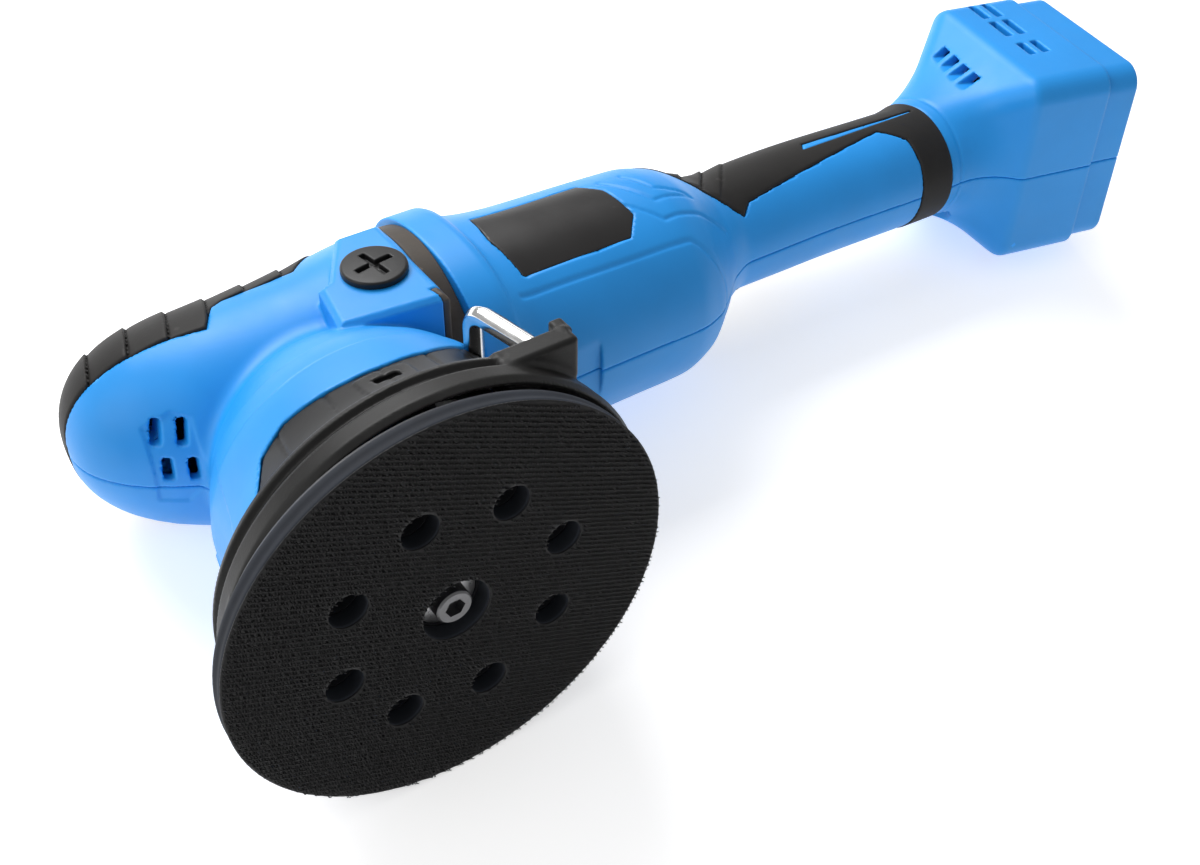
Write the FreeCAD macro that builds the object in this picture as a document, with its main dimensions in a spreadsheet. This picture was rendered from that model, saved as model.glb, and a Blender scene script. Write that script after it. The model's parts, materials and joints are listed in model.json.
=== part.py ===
import FreeCAD, Part
import math
import os
import Sketcher

# Dual action polisher.  Millimetres, +Z up along the drive spindle, origin on the spindle axis at the
# pad's working face, +X towards the battery socket, -Y the side with the data plate.

doc = FreeCAD.newDocument("polisher")
sheet = doc.addObject("Spreadsheet::Sheet", "dims")
sheet.Label = "dims"
V = FreeCAD.Vector


# ---------------------------------------------------------------- sizes that carry their sheet formula

class Size:
    """A length together with the spreadsheet formula that gives it."""

    def __init__(self, value, text):
        self.value = value
        self.text = text

    def __add__(self, other):
        other = size(other)
        return Size(self.value + other.value, "(%s + %s)" % (self.text, other.text))

    def __sub__(self, other):
        other = size(other)
        return Size(self.value - other.value, "(%s - %s)" % (self.text, other.text))

    def __mul__(self, factor):
        return Size(self.value * factor, "(%s * %r)" % (self.text, factor))

    def __neg__(self):
        return self * -1.0


def size(number):
    return number if isinstance(number, Size) else Size(float(number), "(%r)" % float(number))


rows_used = [0]


def dim(alias, value):
    """Store a driving dimension in the sheet and return it."""
    rows_used[0] += 1
    row = rows_used[0]
    sheet.set("A%d" % row, alias)
    sheet.set("B%d" % row, repr(float(value)))
    sheet.setAlias("B%d" % row, alias)
    return Size(float(value), "dims." + alias)


def bind(obj, **sizes):
    for name, value in sizes.items():
        value = size(value)
        setattr(obj, name, value.value)
        obj.setExpression(name, value.text)


def place(obj, x=0, y=0, z=0, axis=None, angle=0.0):
    """Set the placement, with the position bound to the sheet."""
    x, y, z = size(x), size(y), size(z)
    turn = FreeCAD.Rotation(axis, angle) if axis else FreeCAD.Rotation()
    obj.Placement = FreeCAD.Placement(V(x.value, y.value, z.value), turn)
    for name, value in (("x", x), ("y", y), ("z", z)):
        obj.setExpression("Placement.Base." + name, value.text)


# ---------------------------------------------------------------- driving dimensions

pad_radius = dim("pad_radius", 62.5)
eccentricity = dim("eccentricity", 4.0)
hook_thick = dim("hook_thick", 1.4)
foam_thick = dim("foam_thick", 5.4)
plate_thick = dim("plate_thick", 2.8)
hole_circle = dim("hole_circle", 32.9)
hole_radius = dim("hole_radius", 5.2)
recess_radius = dim("recess_radius", 9.6)
wall = dim("wall", 2.6)
skin = dim("grip_thickness", 1.8)
motor_z = dim("motor_axis_height", 95.0)
shaft_radius = dim("spindle_radius", 6.0)
rotor_radius = dim("rotor_shaft_radius", 4.0)
play = dim("running_clearance", 0.04)
ring_outer = dim("shroud_outer_radius", 60.5)
ring_low = dim("shroud_bottom", 10.6)
ring_top = dim("shroud_top", 25.0)
strap_x = dim("strap_start", 36.0)
strap_width = dim("strap_width", 6.5)
flange_length = dim("flange_length", 15.0)
tilt = 13.0
socket_x = dim("socket_rear_x", 317.5)
socket_z = dim("socket_rear_height", 91.5)
socket_width = dim("socket_width", 73.0)
socket_height = dim("socket_height", 70.0)
socket_length = dim("socket_length", 42.0)
rim_length = dim("rim_length", 13.0)
rim_inset = dim("rim_inset", 1.6)
plug_x = dim("plug_x", 24.0)
plug_z = dim("plug_height", 91.5)
plug_radius = dim("plug_radius", 9.6)
facet_y = dim("facet_half_width", 39.6)
button_x = dim("button_x", 178.0)
button_length = dim("button_length", 20.0)
button_width = dim("button_width", 12.0)
button_travel = dim("button_travel", 5.0)
dial_x = dim("dial_x", 226.0)
dial_z = dim("dial_height", 111.5)
dial_radius = dim("dial_radius", 9.0)
dial_width = dim("dial_width", 5.0)
key_flats = dim("key_across_flats", 5.0)
key_x = dim("key_x", 32.5)
key_z = dim("key_height", 51.5)

nose_root = dim("nose_root_x", -15.0)
nose_length = dim("nose_length", 52.0)
nose_rise = dim("nose_rise", 8.0)
shoulder_x = dim("shoulder_start", 118.0)
shoulder_length = dim("shoulder_length", 36.0)
shoulder_rise = dim("shoulder_rise", 6.5)

NOSE_POWER = 2.3
NOSE_ANGLES = (85, 70, 55, 40, 20)
SHOULDER_STEPS = 4
RISE_LAG = 1.4

# Stations along the body: distance along X, height of the centre, half width, half height.
HEAD_ROOT = (-15.0, 103.0, 33.0, 32.0)
HEAD_REST = (HEAD_ROOT, (5.0, 102.0, 34.5, 33.0), (33.0, 101.0, 39.0, 36.0), (46.0, 100.5, 39.0, 37.0),
             (55.0, 99.0, 38.5, 37.0))
BARREL_FRONT = ((54.0, 97.0, 37.5, 36.5), (75.0, 95.0, 36.5, 35.5))
SHOULDER_FRONT = (94.0, 36.0, 35.0)
HANDLE_HALF = 20.5
HANDLE = ((180.0, 100.5, 21.0, 20.5), (246.0, 98.0, 20.5, 20.5))
FLARE = ((243.0, 98.0, 21.5, 21.0), (252.0, 98.0, 24.5, 24.0), (262.0, 99.0, 31.5, 30.5),
         (276.0, 100.5, 36.0, 34.5), (284.0, 99.5, 36.0, 34.5))


def ease(t):
    """A smooth step from 0 to 1."""
    return t * t * (3.0 - 2.0 * t)


def nose_station(angle):
    """The nose closes as a superellipse while its centre line rises."""
    reach = math.sin(math.radians(angle))
    width = (1.0 - reach ** NOSE_POWER) ** (1.0 / NOSE_POWER)
    return (nose_root.value - nose_length.value * reach, HEAD_ROOT[1] + nose_rise.value * ease(reach),
            HEAD_ROOT[2] * width, HEAD_ROOT[3] * width)


def shoulder_station(step):
    """The barrel draws in to the handle, and its centre line rises a little later than its sides."""
    t = step / SHOULDER_STEPS
    drawn = ease(t)
    centre, half_width, half_height = SHOULDER_FRONT
    return (shoulder_x.value + shoulder_length.value * t,
            centre + shoulder_rise.value * drawn ** RISE_LAG,
            half_width + (HANDLE_HALF - half_width) * drawn,
            half_height + (HANDLE_HALF - half_height) * drawn)


HEAD = tuple(nose_station(angle) for angle in NOSE_ANGLES) + HEAD_REST
BARREL = BARREL_FRONT + tuple(shoulder_station(step) for step in range(SHOULDER_STEPS + 1)) + HANDLE
TOWER = ((24.5, 56.0), (30.0, 51.5), (40.0, 48.5), (55.0, 46.5), (84.0, 44.0), (90.0, 42.5))


def stations(label, table):
    """Put a table of body stations in the sheet."""
    names = ("x", "centre", "half_width", "half_height")
    return [[dim("%s%c_%s" % (label, 97 + i, name), value) for name, value in zip(names, row)]
            for i, row in enumerate(table)]


head_rows = stations("head_", HEAD)
barrel_rows = stations("barrel_", BARREL)
flare_rows = stations("flare_", FLARE)
tower_rows = [(dim("tower_%c_height" % (97 + i), z), dim("tower_%c_radius" % (97 + i), r))
              for i, (z, r) in enumerate(TOWER)]
doc.recompute()


# ---------------------------------------------------------------- makers of simple objects

def box(name, length, width, height, x, y, z, axis=None, angle=0.0):
    obj = doc.addObject("Part::Box", name)
    bind(obj, Length=length, Width=width, Height=height)
    place(obj, x, y, z, axis, angle)
    return obj


def centred_box(name, length, width, height, x, y, z):
    """A box centred in Y, starting at x and z."""
    return box(name, length, width, height, x, size(y) - size(width) * 0.5, z)


TURN = {"z": (None, 0.0), "x": (V(0, 1, 0), 90.0), "y": (V(1, 0, 0), -90.0), "-y": (V(1, 0, 0), 90.0)}


def cylinder(name, radius, length, x, y, z, along="z"):
    obj = doc.addObject("Part::Cylinder", name)
    bind(obj, Radius=radius, Height=length)
    place(obj, x, y, z, *TURN[along])
    return obj


def prism(name, sides, circumradius, length, x, y, z, along="z"):
    obj = doc.addObject("Part::Prism", name)
    obj.Polygon = sides
    bind(obj, Circumradius=circumradius, Height=length)
    place(obj, x, y, z, *TURN[along])
    return obj


def fuse(name, *parts):
    if len(parts) == 1:
        return parts[0]
    obj = doc.addObject("Part::MultiFuse", name)
    obj.Shapes = list(parts)
    return obj


def cut(name, base, *tools):
    obj = doc.addObject("Part::Cut", name)
    obj.Base = base
    obj.Tool = fuse(name + "_tools", *tools)
    return obj


def cut_in_turn(name, base, *tools):
    """Take the tools away one after another, for tools that run through each other."""
    for number, tool in enumerate(tools[:-1]):
        base = cut("%s_step%d" % (name, number), base, tool)
    return cut(name, base, tools[-1])


def common(name, first, second):
    obj = doc.addObject("Part::Common", name)
    obj.Base = first
    obj.Tool = second
    return obj


def group(name, *parts):
    """Separate solids that share one node."""
    obj = doc.addObject("Part::Compound", name)
    obj.Links = list(parts)
    return obj


def rounded(name, base, radius, picks=None):
    """Fillet the edges of a box that run along its own X, or the numbered ones."""
    obj = doc.addObject("Part::Fillet", name)
    obj.Base = base
    base.recompute()
    if picks is None:
        picks = edges_along(base, base.Placement.Rotation.multVec(V(1, 0, 0)))
    obj.Edges = [(number, radius, radius) for number in picks]
    return obj


def edges_along(obj, direction):
    found = []
    for number, edge in enumerate(obj.Shape.Edges, 1):
        if isinstance(edge.Curve, Part.Line) and abs(edge.Curve.Direction.dot(direction)) > 0.999:
            found.append(number)
    return found


def loft(name, rows, inset=None):
    """A ruled loft through upright ellipses, optionally pulled in all round."""
    rings = []
    for i, (x, centre, half_width, half_height) in enumerate(rows):
        ring = doc.addObject("Part::Ellipse", "%s_ring%d" % (name, i))
        if inset:
            half_width = half_width - inset
            half_height = half_height - inset
        bind(ring, MajorRadius=half_width, MinorRadius=half_height)
        x, centre = size(x), size(centre)
        upright = FreeCAD.Rotation(V(0, 1, 0), V(0, 0, 1), V(1, 0, 0), "XYZ")
        ring.Placement = FreeCAD.Placement(V(x.value, 0, centre.value), upright)
        ring.setExpression("Placement.Base.x", x.text)
        ring.setExpression("Placement.Base.z", centre.text)
        rings.append(ring)
    obj = doc.addObject("Part::Loft", name)
    obj.Sections = rings
    obj.Solid = True
    obj.Ruled = True
    return obj


def origin_plane(body, role):
    return next(o for o in body.Origin.OriginFeatures if o.Role == role)


def outline(body, name, plane, points):
    """A closed sketch of straight lines whose corners are bound to the sheet."""
    sketch = body.newObject("Sketcher::SketchObject", name)
    sketch.AttachmentSupport = [(origin_plane(body, plane), "")]
    sketch.MapMode = "FlatFace"
    points = [(size(a), size(b)) for a, b in points]
    spots = [V(a.value, b.value, 0) for a, b in points]
    count = len(spots)
    for i in range(count):
        sketch.addGeometry(Part.LineSegment(spots[i], spots[(i + 1) % count]), False)
    for i in range(count):
        sketch.addConstraint(Sketcher.Constraint("Coincident", i, 2, (i + 1) % count, 1))
    for i, (a, b) in enumerate(points):
        for kind, value in (("DistanceX", a), ("DistanceY", b)):
            if abs(value.value) < 1e-9:
                axis = -2 if kind == "DistanceX" else -1
                sketch.addConstraint(Sketcher.Constraint("PointOnObject", i, 1, axis))
            else:
                index = sketch.addConstraint(Sketcher.Constraint(kind, -1, 1, i, 1, value.value))
                sketch.setExpression("Constraints[%d]" % index, value.text)
    return sketch


def turned(name, points, x=0, y=0):
    """A PartDesign body turned about the upright axis through (x, y); points are radius, height."""
    body = doc.addObject("PartDesign::Body", name)
    sketch = outline(body, name + "_profile", "XZ_Plane", points)
    turn = body.newObject("PartDesign::Revolution", name + "_turn")
    turn.Profile = sketch
    turn.ReferenceAxis = (sketch, ["V_Axis"])
    turn.Angle = 360.0
    body.Tip = turn
    place(body, x, y, 0)
    return body


def drilled(body, name, radius, ring_radius, count, first_angle=0.0):
    """A ring of through holes along Z, made as one pocket and a polar pattern."""
    sketch = body.newObject("Sketcher::SketchObject", name + "_sketch")
    sketch.AttachmentSupport = [(origin_plane(body, "XY_Plane"), "")]
    sketch.MapMode = "FlatFace"
    radius, ring_radius = size(radius), size(ring_radius)
    turn = math.radians(first_angle)
    at = V(ring_radius.value * math.cos(turn), ring_radius.value * math.sin(turn), 0)
    sketch.addGeometry(Part.Circle(at, V(0, 0, 1), radius.value), False)
    index = sketch.addConstraint(Sketcher.Constraint("Radius", 0, radius.value))
    sketch.setExpression("Constraints[%d]" % index, radius.text)
    for kind, factor in (("DistanceX", math.cos(turn)), ("DistanceY", math.sin(turn))):
        spot = ring_radius * factor
        index = sketch.addConstraint(Sketcher.Constraint(kind, -1, 1, 0, 3, spot.value))
        sketch.setExpression("Constraints[%d]" % index, spot.text)
    body.recompute(True)
    pocket = body.newObject("PartDesign::Pocket", name)
    pocket.Profile = sketch
    pocket.Type = 1
    pocket.Midplane = True
    pattern = body.newObject("PartDesign::PolarPattern", name + "_ring")
    pattern.Originals = [pocket]
    pattern.Axis = (sketch, ["N_Axis"])
    pattern.Angle = 360.0
    pattern.Occurrences = count
    body.Tip = pattern
    return body


# ---------------------------------------------------------------- casings

BIG = 400.0


def half_space(name, side):
    """Everything on one side of the parting plane, side being -1 or 1."""
    y = -BIG if side < 0 else 0.0
    return box(name, 2 * BIG, BIG, BIG, -BIG, y, -50.0)


def tower(name, inset=None, low=None):
    """The round throat that comes down from the head to the shroud."""
    rows = [(r - inset if inset else r, z) for z, r in tower_rows]
    if low is not None:
        rows[0] = (rows[0][0], size(low))
        rows[-1] = (rows[-1][0], rows[-1][1] - inset)
    points = [(0, rows[0][1])] + rows + [(0, rows[-1][1])]
    return turned(name, points)


def below_slope(name):
    """Space under the sloping joint between the throat and the head casing."""
    slope = 18.6
    front, front_height = -50.0, 27.5
    length, depth = 112.0, 60.0
    turn = FreeCAD.Rotation(V(0, 1, 0), -slope)
    corner = V(front, -65.0, front_height) + turn.multVec(V(-10.0, 0, -depth))
    obj = doc.addObject("Part::Box", name)
    bind(obj, Length=length, Width=130.0, Height=depth)
    obj.Placement = FreeCAD.Placement(corner, turn)
    return obj


def socket_block(name, inset, start, end):
    """A tilted block of the battery socket, from start to end measured back from its rear face."""
    length = size(end) - start
    width = socket_width - size(inset) * 2.0
    height = socket_height - size(inset) * 2.0
    block = doc.addObject("Part::Box", name)
    bind(block, Length=length, Width=width, Height=height)
    turn = FreeCAD.Rotation(V(0, 1, 0), tilt)
    low = size(start).value - socket_length.value
    local = V(low, -width.value / 2, -height.value / 2)
    rear = V(socket_x.value, 0, socket_z.value)
    block.Placement = FreeCAD.Placement(rear + turn.multVec(local), turn)
    radius = max(2.0, 9.0 - size(inset).value)
    return rounded(name + "_round", block, radius)


def envelope(name, inset, with_socket_front):
    """The solid that the two casing halves share, pulled in by inset."""
    pull = inset if size(inset).value else None
    parts = [loft(name + "_head", head_rows[1:] if pull else head_rows, pull),
             loft(name + "_barrel", barrel_rows, pull),
             loft(name + "_flare", flare_rows, pull),
             tower(name + "_tower", pull, 20.0 if pull else None),
             socket_block(name + "_socket", inset, with_socket_front, socket_length - rim_length)]
    return parts


outer_parts = envelope("outer", 0, 0)
flange = rounded("flange_round",
                 centred_box("flange_block", flange_length, 79.0, 76.0, strap_x + strap_width, 0, 61.0),
                 24.0)
facet = centred_box("facet_block", 32.0, facet_y * 2.0, 36.0, 5.0, 0, 73.0)
rim = socket_block("rim", rim_inset, socket_length - rim_length, socket_length)
outer = fuse("outer", flange, facet, rim, *outer_parts)
inner = fuse("inner", *envelope("inner", wall, wall))
rim_bay = socket_block("rim_bay", rim_inset + wall, socket_length - rim_length - 2.0, socket_length + 1.0)

# Shallow seats for the rubber grips, the strap and the data plate.
inset_head = loft("inset_head", head_rows, skin)
inset_barrel = loft("inset_barrel", barrel_rows, skin)
plate_bed = loft("plate_bed", barrel_rows, 0.9)

nose_region = fuse("nose_region",
                   box("nose_top", 95.0, 90.0, 40.0, -62.0, -45.0, 117.0),
                   box("nose_tip", 20.0, 90.0, 60.0, -82.0, -45.0, 90.0, V(0, 1, 0), 12.0))
nose_seat = cut("nose_seat", nose_region, inset_head)
handle_region = fuse("handle_region",
                     box("handle_top", 100.0, 90.0, 30.0, 138.0, -45.0, 104.0),
                     box("handle_band", 9.0, 90.0, 90.0, 234.0, -45.0, 60.0))
handle_seat = cut("handle_seat", handle_region, inset_barrel)
strap_ring = cylinder("strap_outer", 60.0, strap_width, strap_x, 0, 99.5, "x")
strap_core = loft("strap_core", head_rows[-3:], 2.0)
strap_seat = cut("strap_seat", strap_ring, strap_core)
plate_region = box("plate_region", 45.0, 30.0, 26.0, 61.0, -60.0, 77.0)
plate_seat = cut("plate_seat", plate_region, plate_bed)
throat_space = below_slope("throat_space")

button_slot = centred_box("button_slot", button_length + button_travel + 0.8, button_width + 0.6, 20.0,
                          button_x - button_length * 0.5 - 0.4, 0, 112.0)
dial_slot = centred_box("dial_slot", 17.4, dial_width + 0.8, 22.0, dial_x - 8.7, 0, 108.0)

SCREWS = ((-46.0, 95.0), (-28.0, 124.0), (39.5, 124.0), (143.0, 87.0), (252.0, 88.0), (284.0, 122.0),
          (274.0, 78.0))
SCREW_HEAD_Y = 14.0
screw_rows = [(dim("screw_%c_x" % (97 + i), x), dim("screw_%c_height" % (97 + i), z))
              for i, (x, z) in enumerate(SCREWS)]
screw_radius = dim("screw_radius", 1.75)
screw_head_radius = dim("screw_head_radius", 3.4)
boss_radius = dim("boss_radius", 4.6)

bosses = [cylinder("boss%d" % i, boss_radius, 90.0, x, -45.0, z, "y") for i, (x, z) in enumerate(screw_rows)]
boss_limit = fuse("boss_limit", loft("limit_head", head_rows[1:], 2.1),
                  loft("limit_barrel", barrel_rows, 2.1),
                  loft("limit_flare", flare_rows, 2.1),
                  socket_block("limit_socket", 2.1, 2.1, socket_length - rim_length))
boss_bodies = common("boss_bodies", fuse("boss_posts", *bosses), boss_limit)
screw_bores = [cylinder("screw_bore%d" % i, screw_radius, 46.0, x, -16.0, z, "y")
               for i, (x, z) in enumerate(screw_rows)]
head_bores = [cylinder("head_bore%d" % i, screw_head_radius + 0.15, 60.0, x, SCREW_HEAD_Y, z, "y")
              for i, (x, z) in enumerate(screw_rows)]

NOSE_VENTS = [(-47.5 + 6.3 * i, -19.2 + 13.0 * j) for i in range(2) for j in range(2)]
nose_vents = [box("nose_vent%d" % i, 3.2, 6.5, 22.0, x, y, 66.0) for i, (x, y) in enumerate(NOSE_VENTS)]


def in_socket(local):
    """A placement in the tilted frame of the battery socket, origin at the middle of its rear face."""
    turn = FreeCAD.Rotation(V(0, 1, 0), tilt)
    rear = V(socket_x.value, 0, socket_z.value)
    return FreeCAD.Placement(rear + turn.multVec(local), turn)


def socket_box(name, length, width, height, local):
    obj = doc.addObject("Part::Box", name)
    bind(obj, Length=length, Width=width, Height=height)
    obj.Placement = in_socket(local)
    return obj


side_vents = []
for row, vent_length in ((0, 12.0), (1, 12.0), (2, 9.0)):
    for column in range(2):
        spot = V(-33.0 + 5.6 * column, -45.0, 18.0 - 15.0 * row)
        side_vents.append(socket_box("side_vent%d%d" % (row, column), 3.0, 90.0, vent_length, spot))
front_vents = [box("front_vent%d" % i, 30.0, 12.0, 5.0, 250.0, -34.0, 84.0 + 8.5 * i) for i in range(4)]

plug_bores = [cylinder("plug_bore%d" % i, 6.2, 12.0, plug_x, 30.0 * s, plug_z, "y" if s > 0 else "-y")
              for i, s in enumerate((-1, 1))]
plug_bores += [cylinder("plug_pocket%d" % i, plug_radius + 0.3, 6.0, plug_x, facet_y * s, plug_z,
                        "y" if s > 0 else "-y") for i, s in enumerate((-1, 1))]
key_bore = cylinder("key_bore", 3.1, 30.0, key_x, -52.0, key_z, "y")

hollow = cut_in_turn("hollow", outer, inner, rim_bay)
seated = cut_in_turn("seated", hollow, nose_seat, handle_seat, strap_seat, plate_seat, throat_space,
                     button_slot, dial_slot)
bossed = fuse("bossed", seated, boss_bodies)
casing = cut("casing", bossed, *(screw_bores + nose_vents + side_vents + front_vents + plug_bores))
left_shell = common("left_shell", casing, half_space("left_half", -1))
right_half = common("right_blank", casing, half_space("right_half", 1))
right_shell = cut_in_turn("right_shell", right_half, *head_bores)

front_grip = common("front_grip", loft("grip_head", head_rows), nose_seat)
rear_grip_blank = common("rear_grip_blank", loft("grip_barrel", barrel_rows), handle_seat)
rear_grip = cut("rear_grip", rear_grip_blank, button_slot, dial_slot)
strap = common("strap_band", loft("strap_head", head_rows[-4:]), strap_seat)
plate = common("label_plate", loft("plate_barrel", barrel_rows), plate_seat)

throat_shell = cut("throat_shell", outer_parts[3], envelope("bay", wall, wall)[3])
throat = cut("neck_skirt", common("throat_blank", throat_shell, below_slope("throat_space_b")), key_bore)

# ---------------------------------------------------------------- plugs, shroud, key and other fittings


def screw_plug(name, side):
    """A round cover with a cross slot over the side handle's threaded hole."""
    direction = "y" if side > 0 else "-y"
    cap = cylinder(name + "_cap", plug_radius, 2.6, plug_x, facet_y * side, plug_z, direction)
    stem = cylinder(name + "_stem", 6.2, 7.0, plug_x, (facet_y - 7.0) * side, plug_z, direction)
    slot_y = facet_y + 1.2 if side > 0 else -facet_y - 3.2
    slots = [box(name + "_slot_a", 12.0, 2.0, 2.0, plug_x - 6.0, slot_y, plug_z - 1.0),
             box(name + "_slot_b", 2.0, 2.0, 12.0, plug_x - 1.0, slot_y, plug_z - 6.0)]
    return cut(name, fuse(name + "_body", cap, stem), *slots)


left_plug = screw_plug("left_plug", -1)
right_plug = screw_plug("right_plug", 1)

ring = turned("shroud_blank", [
    (ring_outer - 3.0, ring_low), (ring_outer, ring_low), (ring_outer - 1.2, ring_low + 6.0),
    (ring_outer - 3.4, ring_top - 3.0), (ring_outer - 4.5, ring_top - 0.6),
    (ring_outer - 7.5, ring_top - 0.6), (ring_outer - 6.0, ring_low + 6.0)])
ear = fuse("ear", box("ear_root", 15.0, 19.0, 7.4, 30.0, -55.0, 17.0),
           box("ear_tip", 15.0, 6.7, 4.1, 30.0, -55.0, 24.4))
ear_slot = box("ear_slot", 7.0, 14.5, 12.0, 34.9, -57.5, 17.0)
shroud = cut("shroud_ring", fuse("shroud_stock", ring, ear), ear_slot)

key_radius = key_flats * 0.57735
key_stem = prism("key_stem", 6, key_radius, 62.0, key_x, -48.0, key_z, "y")
key_arm = prism("key_arm", 6, key_radius, 27.0, key_x, -46.5, key_z + 1.6)
place(key_arm, key_x, -46.5, key_z + 1.6, V(0, 1, 0), 180.0 - 12.0)
key = fuse("hex_key", key_stem, key_arm)

# ---------------------------------------------------------------- gear case and its fixed parts

case_wall = dim("gear_case_wall", 2.4)
case_radius = dim("gear_case_radius", 26.5)
case_low = dim("gear_case_bottom", 64.0)
case_high = dim("gear_case_top", 113.0)
lower_seat = dim("lower_bearing_bottom", 52.0)
bearing_outer = dim("bearing_outer_radius", 16.0)
bearing_width = dim("bearing_width", 10.0)
upper_seat = dim("upper_bearing_bottom", 104.0)
small_outer = dim("small_bearing_radius", 11.0)
small_width = dim("small_bearing_width", 7.0)
front_seat = dim("front_bearing_x", 35.0)

case_drum = turned("case_drum", [
    (bearing_outer, lower_seat), (bearing_outer + 8.0, lower_seat), (bearing_outer + 8.0, case_low - 4.0),
    (case_radius + 10.0, case_low - 4.0), (case_radius + 10.0, case_low), (case_radius, case_low),
    (case_radius, case_high), (0, case_high), (0, upper_seat + small_width),
    (small_outer, upper_seat + small_width), (small_outer, upper_seat), (small_outer + 3.0, upper_seat),
    (small_outer + 3.0, upper_seat + small_width - 1.0), (case_radius - case_wall, case_high - 4.0),
    (case_radius - case_wall, case_low + 2.0), (bearing_outer - 2.0, case_low + 2.0),
    (bearing_outer - 2.0, lower_seat + bearing_width), (bearing_outer, lower_seat + bearing_width)])
motor_boss = cylinder("motor_boss", small_outer + 4.0, 24.0, 22.0, 0, motor_z, "x")
motor_bore = cylinder("motor_bore", small_outer, 20.0, front_seat, 0, motor_z, "x")
pinion_bore = cylinder("pinion_bore", 10.9, 18.0, 18.0, 0, motor_z, "x")
gear_case = cut("gear_housing", fuse("case_stock", case_drum, motor_boss), motor_bore, pinion_bore)

cover_angles = (45.0, 135.0, 225.0, 315.0)
cover = drilled(turned("bearing_cover", [
    (8.0, lower_seat - 2.4), (bearing_outer + 7.5, lower_seat - 2.4), (bearing_outer + 7.5, lower_seat),
    (8.0, lower_seat)]), "cover_hole", 2.1, 20.0, 4, cover_angles[0])
cover_screws = []
case_threads = []
for number, angle in enumerate(cover_angles):
    x = 20.0 * math.cos(math.radians(angle))
    y = 20.0 * math.sin(math.radians(angle))
    head = cylinder("cover_head%d" % number, 3.4, 2.6, x, y, lower_seat - 5.0)
    shank = cylinder("cover_shank%d" % number, 2.0, 9.0, x, y, lower_seat - 2.4)
    socket = prism("cover_socket%d" % number, 6, 1.7, 1.6, x, y, lower_seat - 5.0)
    case_threads.append(cylinder("case_thread%d" % number, 2.0, 9.0, x, y, lower_seat - 2.4))
    cover_screws.append(cut("cover_screw%d" % number, fuse("cover_blank%d" % number, head, shank), socket))
gear_case.Label = "gear_case_undrilled"
gear_case = cut("gear_case_final", gear_case, *case_threads)
cover_set = group("cover_screws", *cover_screws)


def bearing(name, bore, outside, width, x, y, z, along="z"):
    """A sealed ball bearing as one ring with recessed shields on both faces."""
    ring = cylinder(name + "_ring", outside, width, x, y, z, along)
    hole = cylinder(name + "_hole", bore, width, x, y, z, along)
    shield_out = size(outside) - 2.2
    shield_in = size(bore) + 2.0
    step = 0.5
    grooves = []
    for end, start in (("a", size(0)), ("b", size(width) - step)):
        shift = {"z": (0, 0, start), "x": (start, 0, 0)}[along]
        place_at = [size(a) + b for a, b in zip((x, y, z), shift)]
        disc = cylinder(name + "_groove" + end, shield_out, step, *place_at, along)
        core = cylinder(name + "_land" + end, shield_in, step, *place_at, along)
        grooves.append(cut(name + "_shield" + end, disc, core))
    return cut(name, ring, hole, *grooves)


lower_bearing = bearing("lower_bearing", shaft_radius + play, bearing_outer, bearing_width, 0, 0, lower_seat)
upper_bearing = bearing("upper_bearing", size(4.0) + play, small_outer, small_width, 0, 0, upper_seat)
front_bearing = bearing("front_motor_bearing", rotor_radius + play, small_outer, small_width,
                        front_seat, 0, motor_z, "x")

# ---------------------------------------------------------------- spindle group

spindle_top = dim("spindle_top", 102.0)
gear_low = dim("bevel_gear_hub_bottom", 70.0)
weight_low = dim("counterweight_bottom", 24.0)
weight_top = dim("counterweight_top", 45.0)
pad_x = -eccentricity

spindle = turned("drive_spindle", [
    (0, weight_top - 5.0), (shaft_radius, weight_top - 5.0), (shaft_radius, spindle_top), (4.0, spindle_top),
    (4.0, upper_seat + small_width - 0.5), (0, upper_seat + small_width - 0.5)])

weight_hub = cylinder("weight_hub", bearing_outer + 4.0, 16.0, pad_x, 0, weight_low)
weight_disc = cylinder("weight_disc", 30.0, 7.0, 0, 0, weight_top - 7.0)
heavy_ring = cylinder("heavy_ring", 41.0, 13.0, 0, 0, weight_top - 13.0)
heavy_cut = box("heavy_cut", 90.0, 100.0, 20.0, -80.0, -50.0, weight_top - 16.0)
heavy_inner = cylinder("heavy_inner", bearing_outer + 3.0, 20.0, pad_x, 0, weight_top - 16.0)
heavy_sector = cut("heavy_sector", heavy_ring, heavy_cut, heavy_inner)
weight_bore = cylinder("weight_bore", shaft_radius, 10.0, 0, 0, weight_top - 5.0)
bearing_bore = cylinder("bearing_bore", bearing_outer, 13.0, pad_x, 0, weight_low)
counterweight = cut("counterweight", fuse("weight_stock", weight_hub, weight_disc, heavy_sector),
                    weight_bore, bearing_bore)
eccentric_bearing = bearing("eccentric_bearing", shaft_radius + play, bearing_outer, bearing_width,
                            pad_x, 0, weight_low + 2.0)

GEAR_TEETH = 36
PINION_TEETH = 12
module = dim("gear_module", 1.25)
face_width = dim("gear_face_width", 7.0)
gear_bore = shaft_radius
pitch_angle = math.atan(GEAR_TEETH / PINION_TEETH)


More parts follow.
